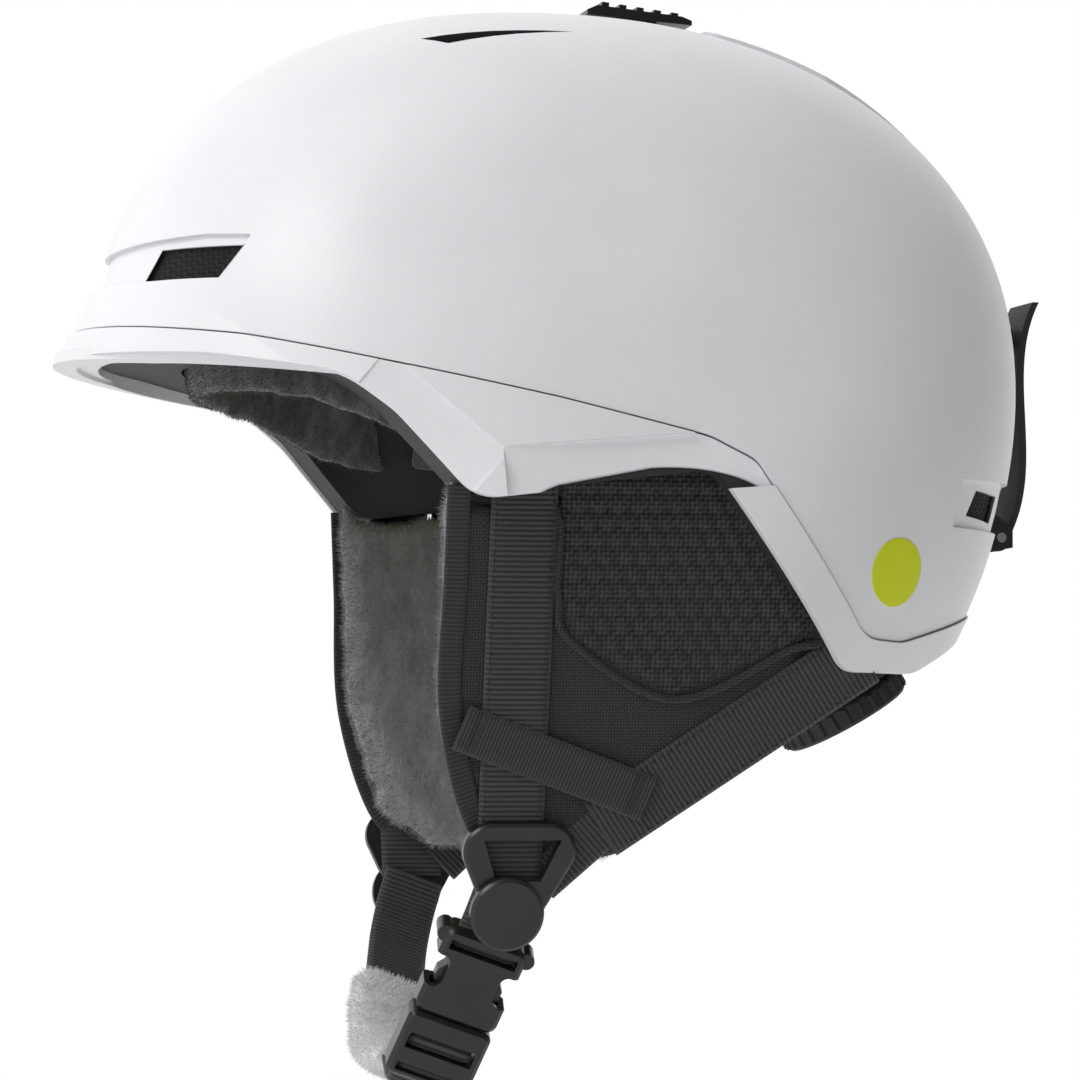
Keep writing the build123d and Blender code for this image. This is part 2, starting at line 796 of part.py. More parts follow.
# Ear pads and the webbing sewn on them
lean = radians(ear_lean)
ear_plane = Plane(origin=(ear_face_x, 0, ear_face_z), x_dir=(0, 1, 0), z_dir=(cos(lean), 0, -sin(lean)))
with BuildPart() as shell_space:
    add(dome(-lip_proud - edge_clearance))
    add(dome(shell_wall + edge_clearance), mode=Mode.SUBTRACT)
    add(above(lower_edge, lower_radii, -edge_clearance), mode=Mode.INTERSECT)
    add(above(lower_edge, lower_radii, foam_edge_shift - edge_clearance))


def on_ear(point):
    """A side-view (y, z) point in the ear plane's own two directions."""
    y, z = point
    return y, (z - ear_face_z) / cos(lean)


def ear_panel(points, low, wall, radius):
    """A rounded panel on the ear plane, trimmed along the foam's edge."""
    with BuildPart() as panel:
        with BuildSketch(ear_plane.offset(low)):
            with BuildLine():
                Polyline(*[on_ear(point) for point in points], close=True)
            make_face()
            fillet(vertices(), radius=radius)
        extrude(amount=wall)
        add(shell_space.part, mode=Mode.SUBTRACT)
    return panel


def ear_band(start, end, width, low, wall):
    """A straight webbing band on the ear plane between two side-view points."""
    y0, v0 = on_ear(start)
    y1, v1 = on_ear(end)
    length = ((y1 - y0) ** 2 + (v1 - v0) ** 2) ** 0.5
    with BuildPart() as band:
        with BuildSketch(ear_plane.offset(low)):
            with Locations(Location(((y0 + y1) / 2, (v0 + v1) / 2), degrees(atan2(v1 - v0, y1 - y0)))):
                Rectangle(length, width)
        extrude(amount=wall)
        add(shell_space.part, mode=Mode.SUBTRACT)
    return band


ear_cover = ear_panel(ear_outline, -ear_cover_wall, ear_cover_wall, 9)
finish_pair(ear_cover, "ear_cover")
ear_fleece = ear_panel(ear_outline, -ear_cover_wall - ear_fleece_wall, ear_fleece_wall, 9)
finish_pair(ear_fleece, "ear_fleece")
front_webbing = ear_band(
    (front_webbing_y, -15), (front_webbing_y, front_webbing_end_z), webbing_width, 0, webbing_wall
)
finish_pair(front_webbing, "front_webbing")
rear_webbing = ear_band(rear_webbing_start, rear_webbing_end, webbing_width, 0, webbing_wall)
with BuildPart() as rear_band_trimmed:
    add((rear_webbing.part - front_webbing.part).solids().sort_by(SortBy.VOLUME)[-1])
finish_pair(rear_band_trimmed, "rear_webbing")
ear_mesh = ear_panel(mesh_outline, 0, mesh_wall, 5)
with BuildPart() as mesh_trimmed:
    add(ear_mesh.part)
    add(rear_webbing.part, mode=Mode.SUBTRACT)
finish_pair(mesh_trimmed, "ear_mesh")
keeper = ear_band(keeper_start, keeper_end, keeper_width, webbing_wall, keeper_wall)
finish_pair(keeper, "keeper_strap")

with BuildPart() as ear_snaps:
    add(ear_posts.part)
    add(ear_cover.part, mode=Mode.SUBTRACT)
    add(ear_fleece.part, mode=Mode.SUBTRACT)
    with BuildSketch(Plane.XY.offset(snap_low)):
        with Locations((reach / 2, 0)):
            Rectangle(reach, reach)
    extrude(amount=snap_length, mode=Mode.INTERSECT)
finish_pair(ear_snaps, "ear_snaps")

# Strap dividers
with BuildPart() as divider:
    with BuildSketch(ear_plane.offset(webbing_wall)):
        with BuildLine():
            Polyline(*[on_ear(point) for point in divider_corners], close=True)
        make_face()
        fillet(vertices(), radius=8)
        with BuildLine():
            Polyline(*[on_ear(point) for point in divider_slot], close=True)
        make_face(mode=Mode.SUBTRACT)
    extrude(amount=divider_wall)
    chamfer(faces().filter_by(ear_plane)[-1].outer_wire().edges(), length=0.8)
finish_pair(divider, "strap_divider")

with BuildPart() as divider_cap:
    with BuildSketch(ear_plane.offset(webbing_wall + divider_wall)):
        with Locations(on_ear((chin_axis_y, chin_axis_z))):
            Circle(cap_radius)
    extrude(amount=cap_wall)
    chamfer(faces().filter_by(ear_plane).sort_by(Axis.X)[-1].edges(), length=0.9)
finish_pair(divider_cap, "divider_cap")

# Chin loop in its own leaning plane
loop_turn = radians(loop_lean)
loop_plane = Plane(
    origin=(0, chin_axis_y, chin_axis_z), x_dir=(1, 0, 0), z_dir=(0, -cos(loop_turn), sin(loop_turn))
)
buckle_turn = radians(buckle_lean)
buckle_origin = loop_plane.from_local_coords((buckle_top[0], buckle_top[1], 0))
buckle_out = loop_plane.from_local_coords((cos(buckle_turn), -sin(buckle_turn), 0)) - loop_plane.origin
buckle_plane = Plane(origin=buckle_origin, x_dir=-loop_plane.z_dir, z_dir=buckle_out)


def loop_band(points, width, wall, label):
    """Webbing or pad: a path in the loop plane given thickness, then width across it."""
    with BuildPart() as band:
        with BuildSketch(loop_plane.offset(-width / 2)):
            with BuildLine() as path:
                Spline(*points)
            trace(path.line, line_width=wall)
        extrude(amount=width)
    finish(band, label)
    return band


def buckle_point(across, along):
    """A point on the buckle's centre line, in the loop plane's two directions."""
    return (
        buckle_top[0] - along * sin(buckle_turn) + across * cos(buckle_turn),
        buckle_top[1] - along * cos(buckle_turn) - across * sin(buckle_turn),
    )


buckle_length = socket_length + plug_gap + plug_length
chin_strap_left = loop_band(
    [(chin_strap_x, chin_strap_top), (chin_strap_x - 0.6, -3), buckle_point(0, -webbing_end_gap)],
    webbing_width,
    webbing_wall,
    "chin_strap_left",
)
loop_band(pad_path, chin_pad_width, chin_pad_wall, "chin_pad")
right_start = pad_path[-1]
loop_band(
    [
        (right_start[0] - 3.5, right_start[1] + 4.5),
        (8 - chin_strap_x, -14),
        (-chin_strap_x, chin_strap_top),
    ],
    webbing_width,
    webbing_wall,
    "chin_strap_right",
)
tail_start = buckle_point(0, buckle_length + webbing_end_gap)
loop_band(
    [
        tail_start,
        (tail_start[0] - 4, tail_start[1] - 2),
        (pad_path[0][0] + strap_end_gap, pad_path[0][1] - 4),
    ],
    webbing_width,
    webbing_wall,
    "chin_strap_tail",
)

with BuildPart() as buckle_socket:
    with BuildSketch(buckle_plane.offset(-buckle_wall / 2)):
        with Locations((0, -socket_length / 2)):
            RectangleRounded(socket_width, socket_length, 3)
    extrude(amount=buckle_wall)
    chamfer(faces().filter_by(buckle_plane).edges(), length=buckle_edge)
    with BuildSketch(buckle_plane.offset(buckle_edge - buckle_wall / 2)):
        with Locations((-socket_width / 2, -2.6), (socket_width / 2, -2.6)):
            Circle(2.4)
    extrude(amount=buckle_wall - 2 * buckle_edge)
    with BuildSketch(buckle_plane.offset(-buckle_wall / 2)):
        with Locations((0, -4.6)):
            Rectangle(webbing_width + 1, 3)
    extrude(amount=buckle_wall, mode=Mode.SUBTRACT)
    with BuildSketch(buckle_plane.offset(-cavity_wall / 2)):
        with Locations((0, -socket_length + cavity_depth / 2 - 0.5)):
            Rectangle(cavity_width, cavity_depth + 1)
    extrude(amount=cavity_wall, mode=Mode.SUBTRACT)
    with BuildSketch(buckle_plane.offset(-buckle_wall / 2)):
        with Locations((-socket_width / 2, -13.5), (socket_width / 2, -13.5)):
            RectangleRounded(9, 10, 2.5)
    extrude(amount=buckle_wall, mode=Mode.SUBTRACT)
finish(buckle_socket, "buckle_socket")

plug_start = -socket_length - plug_gap
with BuildPart() as buckle_plug:
    with BuildSketch(buckle_plane.offset(-buckle_wall / 2)):
        with Locations((0, plug_start - plug_length / 2)):
            RectangleRounded(plug_width, plug_length, 2.5)
    extrude(amount=buckle_wall)
    chamfer(faces().filter_by(buckle_plane).edges(), length=buckle_edge)
    with BuildSketch(buckle_plane.offset(-buckle_wall / 2)):
        with Locations((0, plug_start - plug_length / 2 + 1.5)):
            Rectangle(webbing_width + 1, 5)
        with Locations((0, plug_start - plug_length + 3.4)):
            Rectangle(webbing_width + 1, 2.6)
    extrude(amount=buckle_wall, mode=Mode.SUBTRACT)
    with BuildSketch(buckle_plane.offset(-prong_wall / 2)):
        with Locations((0, plug_start + prong_length / 2)):
            Rectangle(tongue_width, prong_length)
    extrude(amount=prong_wall)
finish(buckle_plug, "buckle_plug")

for side, label in ((-1, "front"), (1, "rear")):
    with BuildPart() as buckle_arm:
        with BuildSketch(buckle_plane.offset(-prong_wall / 2)):
            with BuildLine():
                Polyline(
                    (side * (prong_offset - prong_width / 2), plug_start + 0.2),
                    (side * (prong_offset + prong_width / 2), plug_start + 0.2),
                    (side * (prong_offset + prong_width / 2 + 0.6), plug_start + 8),
                    (side * (prong_offset + prong_tip), plug_start + 10),
                    (side * (prong_offset + prong_tip), plug_start + 13),
                    (side * (prong_offset + 0.6), plug_start + prong_length + 2),
                    (side * (prong_offset - prong_width / 2), plug_start + prong_length + 1),
                    close=True,
                )
            make_face()
        extrude(amount=prong_wall)
    finish(buckle_arm, f"buckle_arm_{label}")
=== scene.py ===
import math

import bmesh
import bpy
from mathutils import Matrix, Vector


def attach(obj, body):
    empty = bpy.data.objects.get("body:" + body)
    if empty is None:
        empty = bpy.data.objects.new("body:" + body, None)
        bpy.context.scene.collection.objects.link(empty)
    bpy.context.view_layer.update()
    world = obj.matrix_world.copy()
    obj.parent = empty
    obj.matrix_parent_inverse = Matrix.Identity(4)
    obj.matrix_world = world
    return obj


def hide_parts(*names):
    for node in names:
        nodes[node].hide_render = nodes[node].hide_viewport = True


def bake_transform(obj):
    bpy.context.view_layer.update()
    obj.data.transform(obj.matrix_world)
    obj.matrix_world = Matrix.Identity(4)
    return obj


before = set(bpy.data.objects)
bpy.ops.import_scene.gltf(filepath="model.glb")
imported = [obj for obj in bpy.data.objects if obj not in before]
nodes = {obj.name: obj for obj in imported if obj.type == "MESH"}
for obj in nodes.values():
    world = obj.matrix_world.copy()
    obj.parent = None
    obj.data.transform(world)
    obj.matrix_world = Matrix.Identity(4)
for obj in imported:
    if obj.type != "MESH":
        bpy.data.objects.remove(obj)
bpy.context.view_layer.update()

sides = {"left": 1, "right": -1}
print("frame loaded:", len(nodes), "nodes")


# small helpers
def meshObject(name, vertices, faces, material=None, smooth=True):
    mesh = bpy.data.meshes.new(name)
    mesh.from_pydata([tuple(v) for v in vertices], [], faces)
    mesh.update()
    piece = bpy.data.objects.new(name, mesh)
    bpy.context.scene.collection.objects.link(piece)
    if material:
        mesh.materials.append(material)
    mesh.polygons.foreach_set("use_smooth", [smooth] * len(mesh.polygons))
    return piece


def outwardNormals(piece):
    bm = bmesh.new()
    bm.from_mesh(piece.data)
    bmesh.ops.remove_doubles(bm, verts=bm.verts, dist=1e-6)
    bmesh.ops.recalc_face_normals(bm, faces=bm.faces)
    bm.to_mesh(piece.data)
    bm.free()
    piece.data.update()


def applied(piece):
    # bakes every modifier into a plain mesh
    depsgraph = bpy.context.evaluated_depsgraph_get()
    depsgraph.update()
    mesh = bpy.data.meshes.new_from_object(piece.evaluated_get(depsgraph), depsgraph=depsgraph)
    piece.modifiers.clear()
    piece.data = mesh
    return piece


def mirrored(piece, name):
    # a right-hand copy of a left-hand piece, faces turned back outwards
    mesh = piece.data.copy()
    for vertex in mesh.vertices:
        vertex.co.x = -vertex.co.x
    mesh.flip_normals()
    mesh.update()
    other = bpy.data.objects.new(name, mesh)
    bpy.context.scene.collection.objects.link(other)
    return other


def smoothPath(points, spacing):
    # evenly spaced points on a Catmull-Rom curve through the given points
    pts = [Vector(p) for p in points]
    pts = [pts[0] * 2 - pts[1]] + pts + [pts[-1] * 2 - pts[-2]]
    dense = []
    for i in range(1, len(pts) - 2):
        a, b, c, d = pts[i - 1 : i + 3]
        for k in range(24):
            t = k / 24
            square, cube = 2 * a - 5 * b + 4 * c - d, 3 * b - a - 3 * c + d
            dense.append(0.5 * ((2 * b) + (c - a) * t + square * t * t + cube * t**3))
    dense.append(pts[-2])
    lengths = [0.0]
    for a, b in zip(dense, dense[1:]):
        lengths.append(lengths[-1] + (b - a).length)
    count = max(2, round(lengths[-1] / spacing))
    out = []
    j = 0
    for i in range(count + 1):
        want = lengths[-1] * i / count
        while j < len(lengths) - 2 and lengths[j + 1] < want:
            j += 1
        gap = max(lengths[j + 1] - lengths[j], 1e-9)
        out.append(dense[j].lerp(dense[j + 1], (want - lengths[j]) / gap))
    return out


def tube(name, points, radius, material, closed=False, roundness=2):
    # plain piping or thread along a path
    curve = bpy.data.curves.new(name, "CURVE")
    curve.dimensions = "3D"
    curve.bevel_depth = radius
    curve.bevel_resolution = roundness
    curve.use_fill_caps = not closed
    spline = curve.splines.new("POLY")
    spline.points.add(len(points) - 1)
    for point, place in zip(spline.points, points):
        point.co = (*place, 1)
    spline.use_cyclic_u = closed
    holder = bpy.data.objects.new(name, curve)
    bpy.context.scene.collection.objects.link(holder)
    depsgraph = bpy.context.evaluated_depsgraph_get()
    mesh = bpy.data.meshes.new_from_object(holder.evaluated_get(depsgraph), depsgraph=depsgraph)
    bpy.data.objects.remove(holder)
    piece = bpy.data.objects.new(name, mesh)
    bpy.context.scene.collection.objects.link(piece)
    mesh.materials.clear()
    mesh.materials.append(material)
    mesh.polygons.foreach_set("use_smooth", [True] * len(mesh.polygons))
    return piece


def joined(name, pieces):
    # one object from several meshes; material slots are kept
    target = pieces[0]
    with bpy.context.temp_override(
        active_object=target, object=target, selected_objects=pieces, selected_editable_objects=pieces
    ):
        bpy.ops.object.join()
    target.name = name
    target.data.name = name
    return target


# shader building
def addNode(tree, kind, at, **values):
    node = tree.nodes.new(kind)
    node.location = at
    for key, value in values.items():
        if hasattr(node, key) and key not in node.inputs:
            setattr(node, key, value)
        else:
            node.inputs[key].default_value = value
    return node


def newGroup(name, inputs, outputs):
    tree = bpy.data.node_groups.new(name, "ShaderNodeTree")
    for label, kind, value in inputs:
        socket = tree.interface.new_socket(label, in_out="INPUT", socket_type=kind)
        if value is not None:
            socket.default_value = value
    for label, kind in outputs:
        tree.interface.new_socket(label, in_out="OUTPUT", socket_type=kind)
    start = addNode(tree, "NodeGroupInput", (-900, 0))
    end = addNode(tree, "NodeGroupOutput", (600, 0))
    return tree, start, end


def math2(tree, operation, at, a=None, b=None):
    node = tree.nodes.new("ShaderNodeMath")
    node.operation = operation
    node.location = at
    for socket, value in zip(node.inputs, (a, b)):
        if value is None:
            continue
        if isinstance(value, (int, float)):
            socket.default_value = value
        else:
            tree.links.new(value, socket)
    return node.outputs[0]


def grainGroup():
    # moulded-plastic grain and soft blotches over the surface
    tree, start, end = newGroup(
        "mouldedGrain",
        [("Grain Size", "NodeSocketFloat", 900.0), ("Blotch Size", "NodeSocketFloat", 18.0)],
        [("Height", "NodeSocketFloat"), ("Blotch", "NodeSocketFloat")],
    )
    place = addNode(tree, "ShaderNodeTexCoord", (-900, 200))
    fine = addNode(tree, "ShaderNodeTexNoise", (-500, 200), Detail=3.0, Roughness=0.6)
    wide = addNode(tree, "ShaderNodeTexNoise", (-500, -100), Detail=4.0, Roughness=0.55)
    for noiseNode, socket in ((fine, "Grain Size"), (wide, "Blotch Size")):
        tree.links.new(place.outputs["Object"], noiseNode.inputs["Vector"])
        tree.links.new(start.outputs[socket], noiseNode.inputs["Scale"])
    tree.links.new(fine.outputs["Fac"], end.inputs["Height"])
    tree.links.new(wide.outputs["Fac"], end.inputs["Blotch"])
    return tree


def weaveGroup():
    # plain weave: two crossed sets of threads from a flat pair of coordinates
    tree, start, end = newGroup(
        "plainWeave",
        [
            ("Across", "NodeSocketFloat", 0.0),
            ("Along", "NodeSocketFloat", 0.0),
            ("Thread", "NodeSocketFloat", 0.0008),
        ],
        [("Height", "NodeSocketFloat"), ("Gap", "NodeSocketFloat")],
    )
    u = math2(tree, "DIVIDE", (-650, 150), start.outputs["Across"], start.outputs["Thread"])
    v = math2(tree, "DIVIDE", (-650, -150), start.outputs["Along"], start.outputs["Thread"])
    turnU = math2(tree, "MULTIPLY", (-480, 150), u, math.pi)
    turnV = math2(tree, "MULTIPLY", (-480, -150), v, math.pi)
    warp = math2(tree, "ABSOLUTE", (-150, 150), math2(tree, "SINE", (-320, 150), turnU))
    weft = math2(tree, "ABSOLUTE", (-150, -150), math2(tree, "SINE", (-320, -150), turnV))
    cellU = math2(tree, "FLOOR", (-320, 320), u)
    cellV = math2(tree, "FLOOR", (-320, -320), v)
    over = math2(tree, "PINGPONG", (20, 320), math2(tree, "ADD", (-150, 320), cellU, cellV), 1.0)
    under = math2(tree, "SUBTRACT", (180, 320), 1.0, over)
    warpHeight = math2(tree, "MULTIPLY", (220, 100), warp, over)
    weftHeight = math2(tree, "MULTIPLY", (220, -60), weft, under)
    height = math2(tree, "ADD", (400, 100), warpHeight, weftHeight)
    # the colour factor is painted shade: darker in the gaps between threads, lighter on the thread crowns
    gap = math2(tree, "MULTIPLY", (220, -220), warp, weft)
    tree.links.new(height, end.inputs["Height"])
    tree.links.new(gap, end.inputs["Gap"])
    return tree


def ribShadeGroup():
    # painted shade: darker furrows between the ribs of a band and lighter crests, from the distance along it
    tree, start, end = newGroup(
        "webbingRibs",
        [("Along", "NodeSocketFloat", 0.0), ("Pitch", "NodeSocketFloat", 0.00145)],
        [("Rib", "NodeSocketFloat")],
    )
    turns = math2(tree, "DIVIDE", (-600, 0), start.outputs["Along"], start.outputs["Pitch"])
    angle = math2(tree, "MULTIPLY", (-500, 0), turns, math.pi)
    wave = math2(tree, "ABSOLUTE", (-200, 0), math2(tree, "SINE", (-400, 0), angle))
    tree.links.new(math2(tree, "POWER", (0, 0), wave, 1.6), end.inputs["Rib"])
    return tree


grain = grainGroup()
ribShade = ribShadeGroup()
weave = weaveGroup()


def groupNode(tree, group, at, **values):
    node = tree.nodes.new("ShaderNodeGroup")
    node.node_tree = group
    node.location = at
    for key, value in values.items():
        node.inputs[key.replace("_", " ")].default_value = value
    return node


def startMaterial(name, **surface):
    material = bpy.data.materials.new(name)
    material.use_nodes = True
    tree = material.node_tree
    shader = tree.nodes["Principled BSDF"]
    for key, value in surface.items():
        shader.inputs[key.replace("_", " ")].default_value = value
    return material, tree, shader


def colourBetween(tree, shader, factor, dark, light, low=0.3, high=0.7):
    ramp = tree.nodes.new("ShaderNodeValToRGB")
    ramp.location = (-300, 200)
    ramp.color_ramp.elements[0].position = low
    ramp.color_ramp.elements[1].position = high
    ramp.color_ramp.elements[0].color = (*dark, 1)
    ramp.color_ramp.elements[1].color = (*light, 1)
    tree.links.new(factor, ramp.inputs["Fac"])
    tree.links.new(ramp.outputs["Color"], shader.inputs["Base Color"])


def roughnessBetween(tree, shader, factor, low, high):
    spread = addNode(tree, "ShaderNodeMapRange", (-300, -100))
    spread.inputs["To Min"].default_value = low
    spread.inputs["To Max"].default_value = high
    tree.links.new(factor, spread.inputs["Value"])
    tree.links.new(spread.outputs["Result"], shader.inputs["Roughness"])


def bumpFrom(tree, shader, height, strength, distance, soften=0.0):
    bump = addNode(tree, "ShaderNodeBump", (-300, -350), Strength=strength, Distance=distance)
    tree.links.new(height, bump.inputs["Height"])
    if soften:
        bevel = tree.nodes.new("ShaderNodeBevel")
        bevel.samples = 6
        bevel.location = (-500, -450)
        bevel.inputs["Radius"].default_value = soften
        tree.links.new(bevel.outputs["Normal"], bump.inputs["Normal"])
    tree.links.new(bump.outputs["Normal"], shader.inputs["Normal"])


def mouldedMaterial(name, dark, light, rough, grainSize=900.0, depth=0.00004, soften=0.0004, **surface):
    material, tree, shader = startMaterial(name, **surface)
    effect = groupNode(tree, grain, (-700, 0), Grain_Size=grainSize, Blotch_Size=22.0)
    colourBetween(tree, shader, effect.outputs["Blotch"], dark, light)
    roughnessBetween(tree, shader, effect.outputs["Blotch"], rough[0], rough[1])
    bumpFrom(tree, shader, effect.outputs["Height"], 0.35, depth, soften)
    return material


def wovenMaterial(name, dark, light, thread, depth, **surface):
    material, tree, shader = startMaterial(name, **surface)
    place = addNode(tree, "ShaderNodeTexCoord", (-1300, 0))
    split = addNode(tree, "ShaderNodeSeparateXYZ", (-1100, 0))
    tree.links.new(place.outputs["Object"], split.inputs[0])
    effect = groupNode(tree, weave, (-850, 0), Thread=thread)
    tree.links.new(split.outputs["Y"], effect.inputs["Across"])
    tree.links.new(split.outputs["Z"], effect.inputs["Along"])
    # the colour is painted shade in the weave's gaps and a painted highlight on the thread crowns
    colourBetween(tree, shader, effect.outputs["Gap"], dark, light, 0.05, 0.6)
    bumpFrom(tree, shader, effect.outputs["Height"], 0.8, depth)
    return material


def webbingMaterial(name, dark, light, pitch):
    material, tree, shader = startMaterial(name, Roughness=0.62, Sheen_Weight=0.2)
    place = addNode(tree, "ShaderNodeTexCoord", (-1300, 0))
    split = addNode(tree, "ShaderNodeSeparateXYZ", (-1100, 0))
    tree.links.new(place.outputs["UV"], split.inputs[0])
    rib = groupNode(tree, ribShade, (-850, 150), Pitch=pitch)
    tree.links.new(split.outputs["Y"], rib.inputs["Along"])
    threads = groupNode(tree, weave, (-850, -150), Thread=0.00036)
    tree.links.new(split.outputs["X"], threads.inputs["Across"])
    tree.links.new(split.outputs["Y"], threads.inputs["Along"])
    # the colour is painted shade: darker in the rib furrows and the weave's gaps, lighter on the rib crests
    # and thread crowns
    shade = math2(tree, "MULTIPLY_ADD", (-600, 0), threads.outputs["Gap"], 0.35)
    tree.links.new(rib.outputs["Rib"], shade.node.inputs[2])
    colourBetween(tree, shader, shade, dark, light, 0.15, 1.15)
    bumpFrom(tree, shader, threads.outputs["Height"], 0.6, 0.0001)
    return material


def plushMaterial(name, dark, light, sheen, low=0.45, high=0.95):
    material, tree, shader = startMaterial(name, Roughness=0.95, Sheen_Weight=sheen, Sheen_Roughness=0.45)
    shader.inputs["Specular IOR Level"].default_value = 0.15
    place = addNode(tree, "ShaderNodeTexCoord", (-1100, 0))
    tufts = addNode(tree, "ShaderNodeTexNoise", (-800, 100), Scale=160.0, Detail=5.0, Roughness=0.7)
    lay = addNode(tree, "ShaderNodeTexNoise", (-800, -200), Scale=1300.0, Detail=2.0)
    mixed = tree.nodes.new("ShaderNodeMath")
    mixed.operation = "MULTIPLY_ADD"
    mixed.inputs[1].default_value = 0.35
    mixed.location = (-550, 0)
    stroked = addNode(tree, "ShaderNodeVectorMath", (-950, 100), operation="MULTIPLY")
    # the nap is combed downwards, so its blotches are drawn out that way
    stroked.inputs[1].default_value = (1.3, 1.3, 0.45)
    tree.links.new(place.outputs["Object"], stroked.inputs[0])
    for node in (tufts, lay):
        tree.links.new(stroked.outputs[0], node.inputs["Vector"])
    tree.links.new(lay.outputs["Fac"], mixed.inputs[0])
    tree.links.new(tufts.outputs["Fac"], mixed.inputs[2])
    colourBetween(tree, shader, mixed.outputs[0], dark, light, low, high)
    bumpFrom(tree, shader, mixed.outputs[0], 0.6, 0.0006)
    return material


finish = {
    "shell": mouldedMaterial(
        "shellWhite", (0.80, 0.805, 0.83), (0.85, 0.855, 0.88), (0.36, 0.42), 1500.0, 0.00002, 0.0005,
        Coat_Weight=0.15, Coat_Roughness=0.3,
    ),
    "foam": mouldedMaterial(
        "foamBlack", (0.012, 0.012, 0.013), (0.03, 0.03, 0.031), (0.6, 0.75), 300.0, 0.0002, 0.0,
    ),
    "slip": mouldedMaterial("slipLayer", (0.5, 0.47, 0.05), (0.6, 0.56, 0.08), (0.3, 0.4)),
    "plastic": mouldedMaterial(
        "plasticBlack", (0.008, 0.008, 0.009), (0.018, 0.018, 0.020), (0.26, 0.38), 2200.0, 0.00005, 0.0004,
    ),
    "rubber": mouldedMaterial(
        "rubberBlack", (0.014, 0.014, 0.014), (0.026, 0.026, 0.027), (0.55, 0.7), 1700.0, 0.00006, 0.0004,
    ),
    "emblem": mouldedMaterial("emblemYellow", (0.66, 0.74, 0.001), (0.70, 0.78, 0.002), (0.5, 0.58)),
    "steel": mouldedMaterial(
        "pinSteel", (0.42, 0.42, 0.44), (0.55, 0.55, 0.56), (0.25, 0.35), 1200.0, 0.00002, 0.0, Metallic=1.0,
    ),
    "webbing": webbingMaterial("webbingBlack", (0.002, 0.002, 0.002), (0.044, 0.044, 0.046), 0.00145),
    "keeper": webbingMaterial("keeperBlack", (0.003, 0.003, 0.003), (0.036, 0.036, 0.038), 0.001),
    "binding": webbingMaterial("bindingBlack", (0.003, 0.003, 0.003), (0.026, 0.026, 0.027), 0.0012),
    "thread": mouldedMaterial("threadBlack", (0.012, 0.012, 0.012), (0.035, 0.035, 0.036), (0.5, 0.6)),
    "cover": wovenMaterial(
        "coverBlack", (0.004, 0.004, 0.004), (0.036, 0.036, 0.037), 0.00085, 0.0003,
        Roughness=0.8, Sheen_Weight=0.1,
    ),
    "spacer": wovenMaterial(
        "spacerMesh", (0.002, 0.002, 0.002), (0.034, 0.034, 0.035), 0.0013, 0.0005,
        Roughness=0.7, Sheen_Weight=0.1,
    ),
    "plushDark": plushMaterial("plushDark", (0.035, 0.035, 0.036), (0.13, 0.13, 0.132), 0.5),
    "plushLight": plushMaterial("plushLight", (0.13, 0.13, 0.132), (0.36, 0.36, 0.365), 0.6, 0.35, 0.95),
    "plushPale": plushMaterial("plushPale", (0.52, 0.52, 0.525), (0.80, 0.80, 0.805), 0.6, 0.3, 0.95),
    "ventMesh": wovenMaterial(
        "ventMesh", (0.0005, 0.0005, 0.0005), (0.006, 0.006, 0.006), 0.0013, 0.0005, Roughness=0.9,
    ),
}
print("materials made:", len(finish))

# shown CAD nodes get their finish
nodeFinish = {
    "shell": ["upper_shell", "lower_shell"],
    "foam": ["foam_liner"],
    "slip": ["slip_liner"],
    "emblem": ["emblem_disc"],
    "steel": ["clip_pin"],
    "rubber": ["slip_anchor_pins", "goggle_clip", "fit_dial"],
    "ventMesh": [f"{place}_vent_mesh_{side}" for place in ("front", "rear") for side in sides],
    "plastic": [
        "vent_knob", "vent_shutter", "clip_bracket", "clip_stop", "fit_housing", "fit_shaft", "fit_hangers",
        "fit_arm_left", "fit_arm_right", "buckle_socket", "buckle_plug", "buckle_arm_front", "buckle_arm_rear",
    ]
    + [f"{piece}_{side}" for piece in ("strap_divider", "divider_cap", "ear_snaps") for side in sides],
}
for name, members in nodeFinish.items():
    for member in members:
        mesh = nodes[member].data
        mesh.materials.clear()
        mesh.materials.append(finish[name])

# the upper shell's wall faces inside the crown slits take the black plastic finish
slitReach = {
    "inner": 0.046, "outer": 0.0545, "front": -0.0415, "rear": 0.0045, "low": 0.07, "topNormal": 0.6,
}
shellMesh = nodes["upper_shell"].data
shellMesh.materials.append(finish["plastic"])
for face in shellMesh.polygons:
    x, y, z = face.center
    inPlan = slitReach["inner"] < abs(x) < slitReach["outer"] and slitReach["front"] < y < slitReach["rear"]
    if inPlan and z > slitReach["low"] and face.normal.z < slitReach["topNormal"]:
        face.material_index = 1


